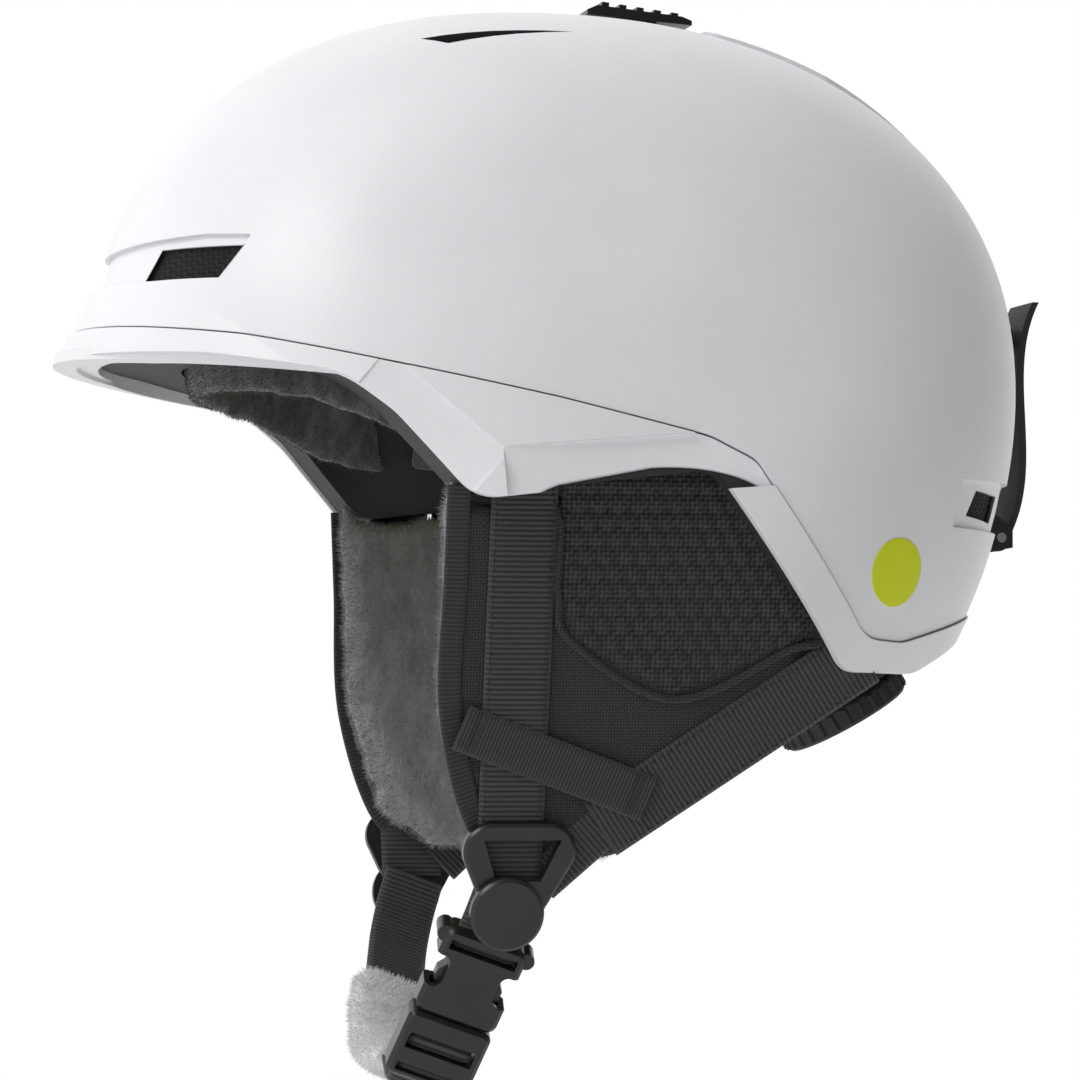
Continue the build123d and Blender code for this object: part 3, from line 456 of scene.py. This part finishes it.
# plush fibres (Geometry Nodes)
def furTree():
    tree = bpy.data.node_groups.new("plushPile", "GeometryNodeTree")
    face = tree.interface
    face.new_socket("Geometry", in_out="INPUT", socket_type="NodeSocketGeometry")
    for label, kind, value in (
        ("Fibres per Square Metre", "NodeSocketFloat", 900000.0),
        ("Fibre Length", "NodeSocketFloat", 0.0024),
        ("Fibre Radius", "NodeSocketFloat", 0.00014),
        ("Lean", "NodeSocketFloat", 0.5),
        ("Seed", "NodeSocketInt", 3),
        ("Pile", "NodeSocketMaterial", None),
    ):
        socket = face.new_socket(label, in_out="INPUT", socket_type=kind)
        if value is not None:
            socket.default_value = value
    face.new_socket("Geometry", in_out="OUTPUT", socket_type="NodeSocketGeometry")
    start = addNode(tree, "NodeGroupInput", (-1200, 0))
    end = addNode(tree, "NodeGroupOutput", (900, 0))
    scatter = addNode(tree, "GeometryNodeDistributePointsOnFaces", (-800, 100))
    cone = addNode(tree, "GeometryNodeMeshCone", (-800, -250), fill_type="NONE")
    cone.inputs["Vertices"].default_value = 3
    cone.inputs["Radius Top"].default_value = 0.0
    randomLean = addNode(tree, "FunctionNodeRandomValue", (-800, -520), data_type="FLOAT_VECTOR")
    randomLean.inputs["Min"].default_value = (-1, -1, -1)
    randomLean.inputs["Max"].default_value = (1, 1, 1)
    leanBy = addNode(tree, "ShaderNodeVectorMath", (-600, -520), operation="SCALE")
    aim = addNode(tree, "ShaderNodeVectorMath", (-400, -300), operation="ADD")
    turn = addNode(tree, "FunctionNodeAlignRotationToVector", (-200, -300), axis="Z")
    size = addNode(tree, "FunctionNodeRandomValue", (-200, -500), data_type="FLOAT")
    size.inputs[2].default_value = 0.55
    size.inputs[3].default_value = 1.1
    place = addNode(tree, "GeometryNodeInstanceOnPoints", (0, 100))
    real = addNode(tree, "GeometryNodeRealizeInstances", (250, 100))
    paint = addNode(tree, "GeometryNodeSetMaterial", (450, 100))
    both = addNode(tree, "GeometryNodeJoinGeometry", (700, 0))
    link = tree.links.new
    link(start.outputs["Geometry"], scatter.inputs["Mesh"])
    link(start.outputs["Fibres per Square Metre"], scatter.inputs["Density"])
    link(start.outputs["Seed"], scatter.inputs["Seed"])
    link(start.outputs["Fibre Length"], cone.inputs["Depth"])
    link(start.outputs["Fibre Radius"], cone.inputs["Radius Bottom"])
    link(start.outputs["Seed"], randomLean.inputs["Seed"])
    link(start.outputs["Lean"], leanBy.inputs["Scale"])
    link(randomLean.outputs[0], leanBy.inputs[0])
    link(scatter.outputs["Normal"], aim.inputs[0])
    link(leanBy.outputs[0], aim.inputs[1])
    link(aim.outputs[0], turn.inputs["Vector"])
    link(scatter.outputs["Points"], place.inputs["Points"])
    link(cone.outputs["Mesh"], place.inputs["Instance"])
    link(turn.outputs["Rotation"], place.inputs["Rotation"])
    link(size.outputs[1], place.inputs["Scale"])
    link(place.outputs["Instances"], real.inputs["Geometry"])
    link(real.outputs["Geometry"], paint.inputs["Geometry"])
    link(start.outputs["Pile"], paint.inputs["Material"])
    link(start.outputs["Geometry"], both.inputs[0])
    link(paint.outputs["Geometry"], both.inputs[0])
    link(both.outputs[0], end.inputs["Geometry"])
    return tree


pileTree = furTree()


def stitchTree():
    tree = bpy.data.node_groups.new("stitchRow", "GeometryNodeTree")
    face = tree.interface
    face.new_socket("Geometry", in_out="INPUT", socket_type="NodeSocketGeometry")
    for label, kind, value in (
        ("Stitch Pitch", "NodeSocketFloat", 0.0026),
        ("Stitch Length", "NodeSocketFloat", 0.0018),
        ("Thread Radius", "NodeSocketFloat", 0.0003),
        ("Thread", "NodeSocketMaterial", None),
    ):
        socket = face.new_socket(label, in_out="INPUT", socket_type=kind)
        if value is not None:
            socket.default_value = value
    face.new_socket("Geometry", in_out="OUTPUT", socket_type="NodeSocketGeometry")
    start = addNode(tree, "NodeGroupInput", (-1000, 0))
    end = addNode(tree, "NodeGroupOutput", (900, 0))
    path = addNode(tree, "GeometryNodeMeshToCurve", (-750, 100))
    spaced = addNode(tree, "GeometryNodeResampleCurve", (-550, 100), mode="LENGTH")
    stitch = addNode(tree, "GeometryNodeMeshUVSphere", (-550, -200))
    stitch.inputs["Segments"].default_value = 6
    stitch.inputs["Rings"].default_value = 4
    stitch.inputs["Radius"].default_value = 1.0
    size = addNode(tree, "ShaderNodeCombineXYZ", (-550, -400))
    half = math2(tree, "MULTIPLY", (-750, -400), start.outputs["Stitch Length"], 0.5)
    way = addNode(tree, "GeometryNodeInputTangent", (-550, -550))
    turn = addNode(tree, "FunctionNodeAlignRotationToVector", (-300, -400), axis="Z")
    place = addNode(tree, "GeometryNodeInstanceOnPoints", (0, 100))
    real = addNode(tree, "GeometryNodeRealizeInstances", (250, 100))
    paint = addNode(tree, "GeometryNodeSetMaterial", (500, 100))
    link = tree.links.new
    link(start.outputs["Geometry"], path.inputs["Mesh"])
    link(path.outputs["Curve"], spaced.inputs["Curve"])
    link(start.outputs["Stitch Pitch"], spaced.inputs["Length"])
    link(start.outputs["Thread Radius"], size.inputs["X"])
    link(start.outputs["Thread Radius"], size.inputs["Y"])
    link(half, size.inputs["Z"])
    link(way.outputs["Tangent"], turn.inputs["Vector"])
    link(spaced.outputs["Curve"], place.inputs["Points"])
    link(stitch.outputs["Mesh"], place.inputs["Instance"])
    link(turn.outputs["Rotation"], place.inputs["Rotation"])
    link(size.outputs["Vector"], place.inputs["Scale"])
    link(place.outputs["Instances"], real.inputs["Geometry"])
    link(real.outputs["Geometry"], paint.inputs["Geometry"])
    link(start.outputs["Thread"], paint.inputs["Material"])
    link(paint.outputs["Geometry"], end.inputs["Geometry"])
    return tree


stitches = stitchTree()


def setInputs(modifier, **values):
    # a modifier's inputs are set by identifier; callers give the plain names
    items = modifier.node_group.interface.items_tree
    sockets = {item.name.replace(" ", "_"): item.identifier for item in items if item.in_out == "INPUT"}
    for key, value in values.items():
        modifier[sockets[key]] = value


def stitchRows(name, rows, pitch=0.0026, length=0.0018, radius=0.00028):
    # rows of thread along open paths
    vertices, edges = [], []
    for row in rows:
        first = len(vertices)
        vertices.extend(tuple(p) for p in row)
        edges.extend((first + i, first + i + 1) for i in range(len(row) - 1))
    mesh = bpy.data.meshes.new(name)
    mesh.from_pydata(vertices, edges, [])
    piece = bpy.data.objects.new(name, mesh)
    bpy.context.scene.collection.objects.link(piece)
    row = piece.modifiers.new("stitches", "NODES")
    row.node_group = stitches
    setInputs(row, Stitch_Pitch=pitch, Stitch_Length=length, Thread_Radius=radius, Thread=finish["thread"])
    return applied(piece)


def addPile(piece, material, density, length, seed):
    pile = piece.modifiers.new("pile", "NODES")
    pile.node_group = pileTree
    setInputs(pile, Fibres_per_Square_Metre=density, Fibre_Length=length, Seed=seed, Pile=material)
    return applied(piece)


# padded pieces (cloth)
def paddedFrom(node, name, material, pad):
    # copy of the CAD solid, remeshed, swollen by air pressure and smoothed
    source = nodes[node]
    mesh = source.data.copy()
    mesh.materials.clear()
    mesh.materials.append(material)
    piece = bpy.data.objects.new(name, mesh)
    bpy.context.scene.collection.objects.link(piece)
    outwardNormals(piece)
    remesh = piece.modifiers.new("remesh", "REMESH")
    remesh.mode = "VOXEL"
    remesh.voxel_size = pad["voxel"]
    applied(piece)
    inset = piece.modifiers.new("inset", "DISPLACE")
    inset.strength = -pad["shrink"]
    inset.mid_level = 0
    relax = piece.modifiers.new("relax", "SMOOTH")
    relax.factor = 0.5
    relax.iterations = pad["smooth"]
    applied(piece)
    before = [v.co.copy() for v in piece.data.vertices]
    cloth = piece.modifiers.new("air", "CLOTH")
    cloth.settings.quality = 5
    cloth.settings.use_pressure = True
    cloth.settings.uniform_pressure_force = pad["pressure"]
    cloth.settings.effector_weights.gravity = 0
    cloth.settings.tension_stiffness = 15
    cloth.settings.bending_stiffness = 0.5
    scene = bpy.context.scene
    for step in range(1, 21):
        scene.frame_set(step)
        bpy.context.evaluated_depsgraph_get().update()
    applied(piece)
    scene.frame_set(1)
    for vertex, rest in zip(piece.data.vertices, before):
        move = vertex.co - rest
        if move.length > pad["cap"]:
            vertex.co = rest + move * (pad["cap"] / move.length)
    finer = piece.modifiers.new("finer", "SUBSURF")
    finer.levels = 1
    finer.render_levels = 1
    applied(piece)
    piece.data.polygons.foreach_set("use_smooth", [True] * len(piece.data.polygons))
    return piece


padDefaults = {"voxel": 0.0035, "shrink": 0.0009, "pressure": 4.0, "cap": 0.0022, "smooth": 5}
templePad = {"fill": 0.7, "finish": "plushDark", "density": 900000.0, "length": 0.0012}
earFleece = {
    "fill": 0.7, "finish": "plushLight", "density": 1700000.0, "length": 0.0022,
    "voxel": 0.003, "shrink": -0.0018,
}
comfortPads = {
    "brow_pad": {
        "fill": 0.7, "finish": "plushDark", "density": 1500000.0, "length": 0.0011,
        "voxel": 0.0024, "shrink": 0.0002, "smooth": 8,
    },
    "nape_pad": {"fill": 0.7, "finish": "plushDark", "density": 250000.0, "length": 0.0022},
    "temple_pad_left": templePad,
    "temple_pad_right": templePad,
    "crown_pad": {"fill": 0.6, "finish": "plushDark", "density": 250000.0, "length": 0.0022},
    "nape_cradle": {"fill": 0.6, "finish": "plushDark", "density": 250000.0, "length": 0.0018},
    "ear_fleece_left": earFleece,
    "ear_fleece_right": earFleece,
}
for seed, (node, pad) in enumerate(comfortPads.items(), start=11):
    piece = paddedFrom(node, f"{node}_soft", finish[pad["finish"]], {**padDefaults, **pad})
    addPile(piece, finish[pad["finish"]], pad["density"], pad["length"], seed)
    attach(piece, "helmet")
    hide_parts(node)
print("comfort pads done")


# ear pads
ear = {
    "faceX": 0.098, "faceZ": -0.030, "lean": math.radians(12),
    "webWall": 0.0016, "webWidth": 0.0185, "ribPitch": 0.00145, "ribDepth": 0.00042,
    "frontY": -0.021, "frontTopZ": -0.029, "frontEndZ": -0.1475,
    "rearStart": (0.0046, -0.1293), "rearEnd": (0.0785, -0.0803),
    "keeperWidth": 0.0132, "keeperStart": (-0.0365, -0.1005), "keeperEnd": (0.018, -0.1208),
    "keeperWall": 0.0012, "keeperPitch": 0.001, "keeperRib": 0.0003,
}
earOut = Vector((math.cos(ear["lean"]), 0, -math.sin(ear["lean"])))


def onEar(y, z, out=0.0):
    # a side-view point on the left ear pad's outer face, moved out by a distance
    slope = (z - ear["faceZ"]) / math.cos(ear["lean"])
    return Vector((
        ear["faceX"] + slope * math.sin(ear["lean"]) + out * math.cos(ear["lean"]),
        y,
        ear["faceZ"] + slope * math.cos(ear["lean"]) - out * math.sin(ear["lean"]),
    ))


def webbing(name, points, widthWay, width, wall, pitch, depth, material):
    # ribbed band: ribs run across it, with smooth woven edges; UV is in metres
    stepsPerRib, across, edgeShare = 4, 10, 0.14
    path = smoothPath(points, pitch / stepsPerRib)
    vertices, faces, uvs = [], [], []
    for i, place in enumerate(path):
        ahead = (path[min(i + 1, len(path) - 1)] - path[max(i - 1, 0)]).normalized()
        way = widthWay(i / (len(path) - 1)) if callable(widthWay) else Vector(widthWay)
        way = (way - ahead * way.dot(ahead)).normalized()
        out = ahead.cross(way)
        rib = abs(math.sin(math.pi * i / stepsPerRib))
        ring = []
        for face in (1, -1):
            for j in range(across + 1):
                share = face * (j / across * 2 - 1)
                edge = max(0.0, abs(share) - (1 - edgeShare)) / edgeShare
                thick = wall / 2 * (1 - 0.45 * edge * edge)
                lift = depth * rib * (1 - min(1.0, edge * 1.6))
                ring.append(place + way * (share * width / 2) + out * (face * (thick + lift)))
                uvs.append((share * width / 2, i * pitch / stepsPerRib))
        vertices.extend(ring)
    count = 2 * (across + 1)
    for i in range(len(path) - 1):
        for j in range(count):
            a = i * count + j
            b = i * count + (j + 1) % count
            faces.append((a, b, b + count, a + count))
    faces.append(tuple(range(count))[::-1])
    last = (len(path) - 1) * count
    faces.append(tuple(range(last, last + count)))
    piece = meshObject(name, vertices, faces, material)
    layer = piece.data.uv_layers.new(name="weave")
    for loop in piece.data.loops:
        layer.data[loop.index].uv = uvs[loop.vertex_index]
    bm = bmesh.new()
    bm.from_mesh(piece.data)
    bmesh.ops.recalc_face_normals(bm, faces=bm.faces)
    bm.to_mesh(piece.data)
    bm.free()
    return piece


def bothSides(piece, base, node, body="helmet"):
    # the left piece and its mirror image, each standing for its own CAD node
    other = mirrored(piece, f"{base}_right")
    piece.name = f"{base}_left"
    for made, side in ((piece, "left"), (other, "right")):
        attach(made, body)
        if node:
            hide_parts(f"{node}_{side}")


coverPad = {"voxel": 0.003, "shrink": 0.0006, "pressure": 3.0, "cap": 0.0012, "smooth": 4}
cover = paddedFrom("ear_cover_left", "earCover", finish["cover"], coverPad)
bothSides(cover, "earCover", "ear_cover")

frontHeights = (ear["frontTopZ"], -0.06, -0.09, -0.12, -0.134, ear["frontEndZ"])
frontBand = webbing(
    "frontWebbing", [onEar(ear["frontY"], z, 0.0012) for z in frontHeights],
    (0, 1, 0), ear["webWidth"], ear["webWall"], ear["ribPitch"], ear["ribDepth"], finish["webbing"],
)
bothSides(frontBand, "frontWebbing", "front_webbing")

rearStart, rearEnd = onEar(*ear["rearStart"], 0.0010), onEar(*ear["rearEnd"], 0.0010)
rearWay = (rearEnd - rearStart).cross(earOut)
rearBand = webbing(
    "rearWebbing", [rearStart.lerp(rearEnd, t) for t in (0, 0.33, 0.66, 1)], rearWay,
    ear["webWidth"], ear["webWall"], ear["ribPitch"], ear["ribDepth"], finish["webbing"],
)
bothSides(rearBand, "rearWebbing", "rear_webbing")

keeperStart, keeperEnd = onEar(*ear["keeperStart"], 0.0026), onEar(*ear["keeperEnd"], 0.0026)
keeperWay = (keeperEnd - keeperStart).cross(earOut)
keeperBand = webbing(
    "keeperStrap", [keeperStart.lerp(keeperEnd, t) for t in (0, 0.33, 0.66, 1)], keeperWay,
    ear["keeperWidth"], ear["keeperWall"], ear["keeperPitch"], ear["keeperRib"], finish["keeper"],
)
bothSides(keeperBand, "keeperStrap", "keeper_strap")

# short web behind the divider, seen through its slot
web = {"path": [(0.006, -0.1285), (-0.003, -0.1365), (-0.012, -0.1445)], "width": 0.0125, "wall": 0.0014}
fanBand = webbing(
    "dividerWeb", [onEar(*place, 0.0002) for place in web["path"]],
    (onEar(*web["path"][0]) - onEar(*web["path"][-1])).cross(earOut),
    web["width"], web["wall"], ear["ribPitch"], ear["ribDepth"], finish["webbing"],
)
bothSides(fanBand, "dividerWeb", None)

# ribbed binding tape along the pad's free edges
edgeTape = {
    "width": 0.0066, "wall": 0.0009, "pitch": 0.0012, "ribDepth": 0.00025,
    "path": [(-0.0395, -0.034), (-0.0395, -0.060), (-0.0395, -0.096), (-0.0307, -0.1275), (-0.0170, -0.1375)],
}
tapePath = [onEar(y, z, 0.0006) for y, z in edgeTape["path"]]


def tapeWay(share):
    # the tape lies flat on the pad, so its width runs across the edge
    return Vector((0, 1, 0)) if share < 0.55 else Vector((0, 0.9, 0.44))


bindingBand = webbing(
    "edgeBinding", tapePath, tapeWay,
    edgeTape["width"], edgeTape["wall"], edgeTape["pitch"], edgeTape["ribDepth"], finish["binding"],
)
bothSides(bindingBand, "edgeBinding", None)
print("ear pad webbing done")

# spacer mesh: padded cells standing out of the panel
spacer = {
    "outline": [
        (-0.0105, -0.030), (0.037, -0.030), (0.0665, -0.072), (0.056, -0.0795),
        (0.024, -0.093), (-0.006, -0.077), (-0.0105, -0.064),
    ],
    "step": 0.0009, "cell": 0.0056, "rise": 0.0012, "base": 0.0004, "edge": 0.0028,
    "field": 0.0006, "rowPitch": 0.86, "wall": 0.0008, "piping": 0.0011,
}


def edgeDistance(point, outline):
    # signed distance inside a side-view outline
    y, z = point
    best = 1.0
    inside = False
    for (y0, z0), (y1, z1) in zip(outline, outline[1:] + outline[:1]):
        dy, dz = y1 - y0, z1 - z0
        t = max(0.0, min(1.0, ((y - y0) * dy + (z - z0) * dz) / (dy * dy + dz * dz)))
        best = min(best, math.hypot(y - y0 - dy * t, z - z0 - dz * t))
        if (z0 > z) != (z1 > z) and y < (z - z0) / (z1 - z0) * dy + y0:
            inside = not inside
    return best if inside else -best


def spacerPanel():
    outline = spacer["outline"]
    step = spacer["step"]
    lowY, highY = min(p[0] for p in outline), max(p[0] for p in outline)
    lowZ, highZ = min(p[1] for p in outline), max(p[1] for p in outline)
    columns, rows = int((highY - lowY) / step) + 1, int((highZ - lowZ) / step) + 1
    index, vertices, faces = {}, [], []
    for row in range(rows + 1):
        for column in range(columns + 1):
            y, z = lowY + column * step, lowZ + row * step
            inside = edgeDistance((y, z), outline)
            if inside < -step:
                continue
            cell, rowPitch = spacer["cell"], spacer["rowPitch"]
            line = round(z / (cell * rowPitch))
            shift = cell / 2 if line % 2 else 0
            offY = (y + shift) / cell - round((y + shift) / cell)
            offZ = z / (cell * rowPitch) - line
            bump = max(0.0, 1 - (2.1 * math.hypot(offY, offZ * rowPitch)) ** 2)
            fade = min(1.0, max(0.0, inside / spacer["edge"]))
            index[row, column] = len(vertices)
            rise = spacer["field"] + spacer["rise"] * bump**0.7
            vertices.append(onEar(y, z, spacer["base"] + fade * rise))
    for (row, column), a in index.items():
        others = ((row, column + 1), (row + 1, column + 1), (row + 1, column))
        corners = [index.get(place) for place in others]
        if None not in corners:
            faces.append((a, *corners))
    panel = meshObject("spacerPanel", vertices, faces, finish["spacer"])
    solid = panel.modifiers.new("wall", "SOLIDIFY")
    solid.thickness = spacer["wall"]
    solid.offset = -1
    applied(panel)
    outwardNormals(panel)
    border = [onEar(y, z, 0.0012) for y, z in outline]
    start = border[0].lerp(border[-1], 0.5)
    border = smoothPath([start] + border + [start], 0.0015)
    piping = tube("spacerPiping", border[:-1], spacer["piping"], finish["cover"], closed=True)
    return joined("spacerPanel", [panel, piping])


bothSides(spacerPanel(), "spacerPanel", "ear_mesh")


# sewing: both edges of the front and rear bands, and bar tacks on the keeper
def earRow(a, b, out, steps=12):
    runY, runZ = b[0] - a[0], b[1] - a[1]
    return [onEar(a[0] + runY * t / steps, a[1] + runZ * t / steps, out) for t in range(steps + 1)]


def offsetRow(a, b, side, out):
    run = Vector((b[0] - a[0], b[1] - a[1])).normalized()
    across = Vector((-run.y, run.x)) * side
    return earRow((a[0] + across.x, a[1] + across.y), (b[0] + across.x, b[1] + across.y), out)


seam = {
    "front": 0.0082, "frontTop": -0.034, "frontEnd": -0.126, "frontOut": 0.0022,
    "rear": 0.0080, "rearStart": (0.010, -0.1255), "rearEnd": (0.074, -0.0832), "rearOut": 0.0021,
    "tacks": (0.0035, 0.0050, 0.0525, 0.0540), "tackReach": 0.0052, "tackOut": 0.0034,
    "tackPitch": 0.0009, "tackLength": 0.0012, "tackThread": 0.00035,
}
sewingRows = []
for side in (-1, 1):
    rowY = ear["frontY"] + side * seam["front"]
    sewingRows.append(earRow((rowY, seam["frontTop"]), (rowY, seam["frontEnd"]), seam["frontOut"]))
for side in (1, -1):
    sewingRows.append(offsetRow(seam["rearStart"], seam["rearEnd"], side * seam["rear"], seam["rearOut"]))
tackRows = []
keeperRun = (Vector(ear["keeperEnd"]) - Vector(ear["keeperStart"])).normalized()
keeperSide = Vector((-keeperRun.y, keeperRun.x)) * seam["tackReach"]
for away in seam["tacks"]:
    middle = Vector(ear["keeperStart"]) + keeperRun * away
    tackRows.append(earRow(tuple(middle - keeperSide), tuple(middle + keeperSide), seam["tackOut"]))
runs = stitchRows("sewingRuns", sewingRows)
tacks = stitchRows("sewingTacks", tackRows, seam["tackPitch"], seam["tackLength"], seam["tackThread"])
sewing = joined("sewing", [runs, tacks])
bothSides(sewing, "sewing", None)
print("ear pads done")

# chin loop
loop = {
    "axis": Vector((0, -0.0222, -0.1518)), "lean": math.radians(20), "strapX": 0.0704, "webWidth": 0.0185,
    "buckleTop": (0.0671, -0.008), "buckleLean": math.radians(23.6), "buckleLength": 0.0483,
}
loopUp = Vector((0, math.sin(loop["lean"]), math.cos(loop["lean"])))
loopFront = Vector((0, -math.cos(loop["lean"]), math.sin(loop["lean"])))


def inLoop(across, up, front=0.0):
    return loop["axis"] + Vector((across, 0, 0)) + loopUp * up + loopFront * front


def onBuckle(out, down):
    # a point on the buckle: out of its face, down its length
    turn = loop["buckleLean"]
    return inLoop(
        loop["buckleTop"][0] - down * math.sin(turn) + out * math.cos(turn),
        loop["buckleTop"][1] - down * math.cos(turn) - out * math.sin(turn),
    )


leftBand = webbing(
    "chinStrapLeft",
    [
        inLoop(loop["strapX"], 0.004), inLoop(loop["strapX"] - 0.0008, -0.003),
        onBuckle(0.0012, 0.0012), onBuckle(0.0020, 0.0038), onBuckle(0.0, 0.0066),
    ],
    loopFront, loop["webWidth"], ear["webWall"], ear["ribPitch"], ear["ribDepth"], finish["webbing"],
)
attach(leftBand, "chin_loop")
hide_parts("chin_strap_left")

rightBand = webbing(
    "chinStrapRight",
    [
        inLoop(-loop["strapX"], 0.004), inLoop(-0.0672, -0.006), inLoop(-0.0605, -0.0155),
        inLoop(-0.0520, -0.0225), inLoop(-0.0440, -0.0285),
    ],
    loopFront, loop["webWidth"], ear["webWall"], ear["ribPitch"], ear["ribDepth"], finish["webbing"],
)
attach(rightBand, "chin_loop")
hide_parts("chin_strap_right")

tailBand = webbing(
    "chinStrapTail",
    [
        onBuckle(0.0005, 0.0335), onBuckle(0.0028, 0.0365), onBuckle(-0.0008, 0.0410),
        onBuckle(0.0022, 0.0452), onBuckle(-0.001, loop["buckleLength"] + 0.001),
        inLoop(0.0425, -0.0553), inLoop(0.0334, -0.0528), inLoop(0.024, -0.0498),
    ],
    loopFront, loop["webWidth"], ear["webWall"], ear["ribPitch"], ear["ribDepth"], finish["webbing"],
)
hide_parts("chin_strap_tail")
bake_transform(tailBand)

chin = {
    "voxel": 0.003, "shrink": 0.0002, "pressure": 8.0, "cap": 0.005, "smooth": 14,
    "density": 1800000.0, "length": 0.0018, "seed": 41,
}
chinPad = paddedFrom("chin_pad", "chinPadSoft", finish["plushPale"], chin)
addPile(chinPad, finish["plushPale"], chin["density"], chin["length"], chin["seed"])
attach(chinPad, "chin_loop")
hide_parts("chin_pad")
print("chin loop done")


# stage, light and camera
def floorAndLight():
    stage = {"floorZ": -0.52, "radius": 3.0, "sides": 96}
    backdrop = {"From Min": -0.5, "From Max": 0.35, "To Min": 0.15, "To Max": 1.0}
    material, tree, shader = startMaterial("paleFloor", Roughness=0.8)
    shader.inputs["Base Color"].default_value = (0.92, 0.92, 0.92, 1)
    vertices = [(0, 0, stage["floorZ"])]
    for k in range(stage["sides"]):
        turn = 2 * math.pi * k / stage["sides"]
        vertices.append((stage["radius"] * math.cos(turn), stage["radius"] * math.sin(turn), stage["floorZ"]))
    faces = [(0, 1 + k, 1 + (k + 1) % stage["sides"]) for k in range(stage["sides"])]
    floor = meshObject("floor", vertices, faces, material, smooth=False)

    # white backdrop behind the helmet, dimmer on the viewer's side
    world = bpy.data.worlds.new("studio")
    bpy.context.scene.world = world
    world.use_nodes = True
    tree = world.node_tree
    place = addNode(tree, "ShaderNodeTexCoord", (-800, 0))
    facing = addNode(tree, "ShaderNodeVectorMath", (-600, 0), operation="DOT_PRODUCT")
    facing.inputs[1].default_value = (-0.84, -0.52, 0.15)
    level = addNode(tree, "ShaderNodeMapRange", (-400, 0))
    for key, value in backdrop.items():
        level.inputs[key].default_value = value
    tree.links.new(place.outputs["Generated"], facing.inputs[0])
    tree.links.new(facing.outputs["Value"], level.inputs["Value"])
    tree.links.new(level.outputs["Result"], tree.nodes["Background"].inputs["Strength"])
    tree.nodes["Background"].inputs["Color"].default_value = (1, 1, 1, 1)

    lights = [
        ("keyLight", (1.1, -1.5, 1.5), 1.2, 19.0),
        ("topLight", (0.2, -0.5, 1.9), 1.2, 3.0),
        ("lowLight", (1.3, -0.5, -0.45), 0.8, 2.0),
        ("rimLight", (0.3, 1.7, 0.6), 0.8, 0.3),
    ]
    for name, place, size, power in lights:
        lamp = bpy.data.lights.new(name, "AREA")
        lamp.shape = "DISK"
        lamp.size = size
        lamp.energy = power
        holder = bpy.data.objects.new(name, lamp)
        bpy.context.scene.collection.objects.link(holder)
        holder.location = place
        holder.rotation_euler = (Vector((0, 0, -0.03)) - Vector(place)).to_track_quat("-Z", "Y").to_euler()


def addCamera():
    shot = {"azimuth": 78, "elevation": -2.0, "distance": 1.4, "target": (0, 0.004, -0.0457), "lens": 156.8}
    turn, rise = math.radians(shot["azimuth"]), math.radians(shot["elevation"])
    back = Vector((math.sin(turn) * math.cos(rise), -math.cos(turn) * math.cos(rise), math.sin(rise)))
    camera = bpy.data.cameras.new("camera")
    camera.lens = shot["lens"]
    camera.sensor_width = 36
    holder = bpy.data.objects.new("camera", camera)
    bpy.context.scene.collection.objects.link(holder)
    holder.location = Vector(shot["target"]) + back * shot["distance"]
    holder.rotation_euler = (-back).to_track_quat("-Z", "Y").to_euler()
    bpy.context.scene.camera = holder


floorAndLight()
addCamera()
bpy.context.scene.view_settings.view_transform = "Standard"
print("stage done")
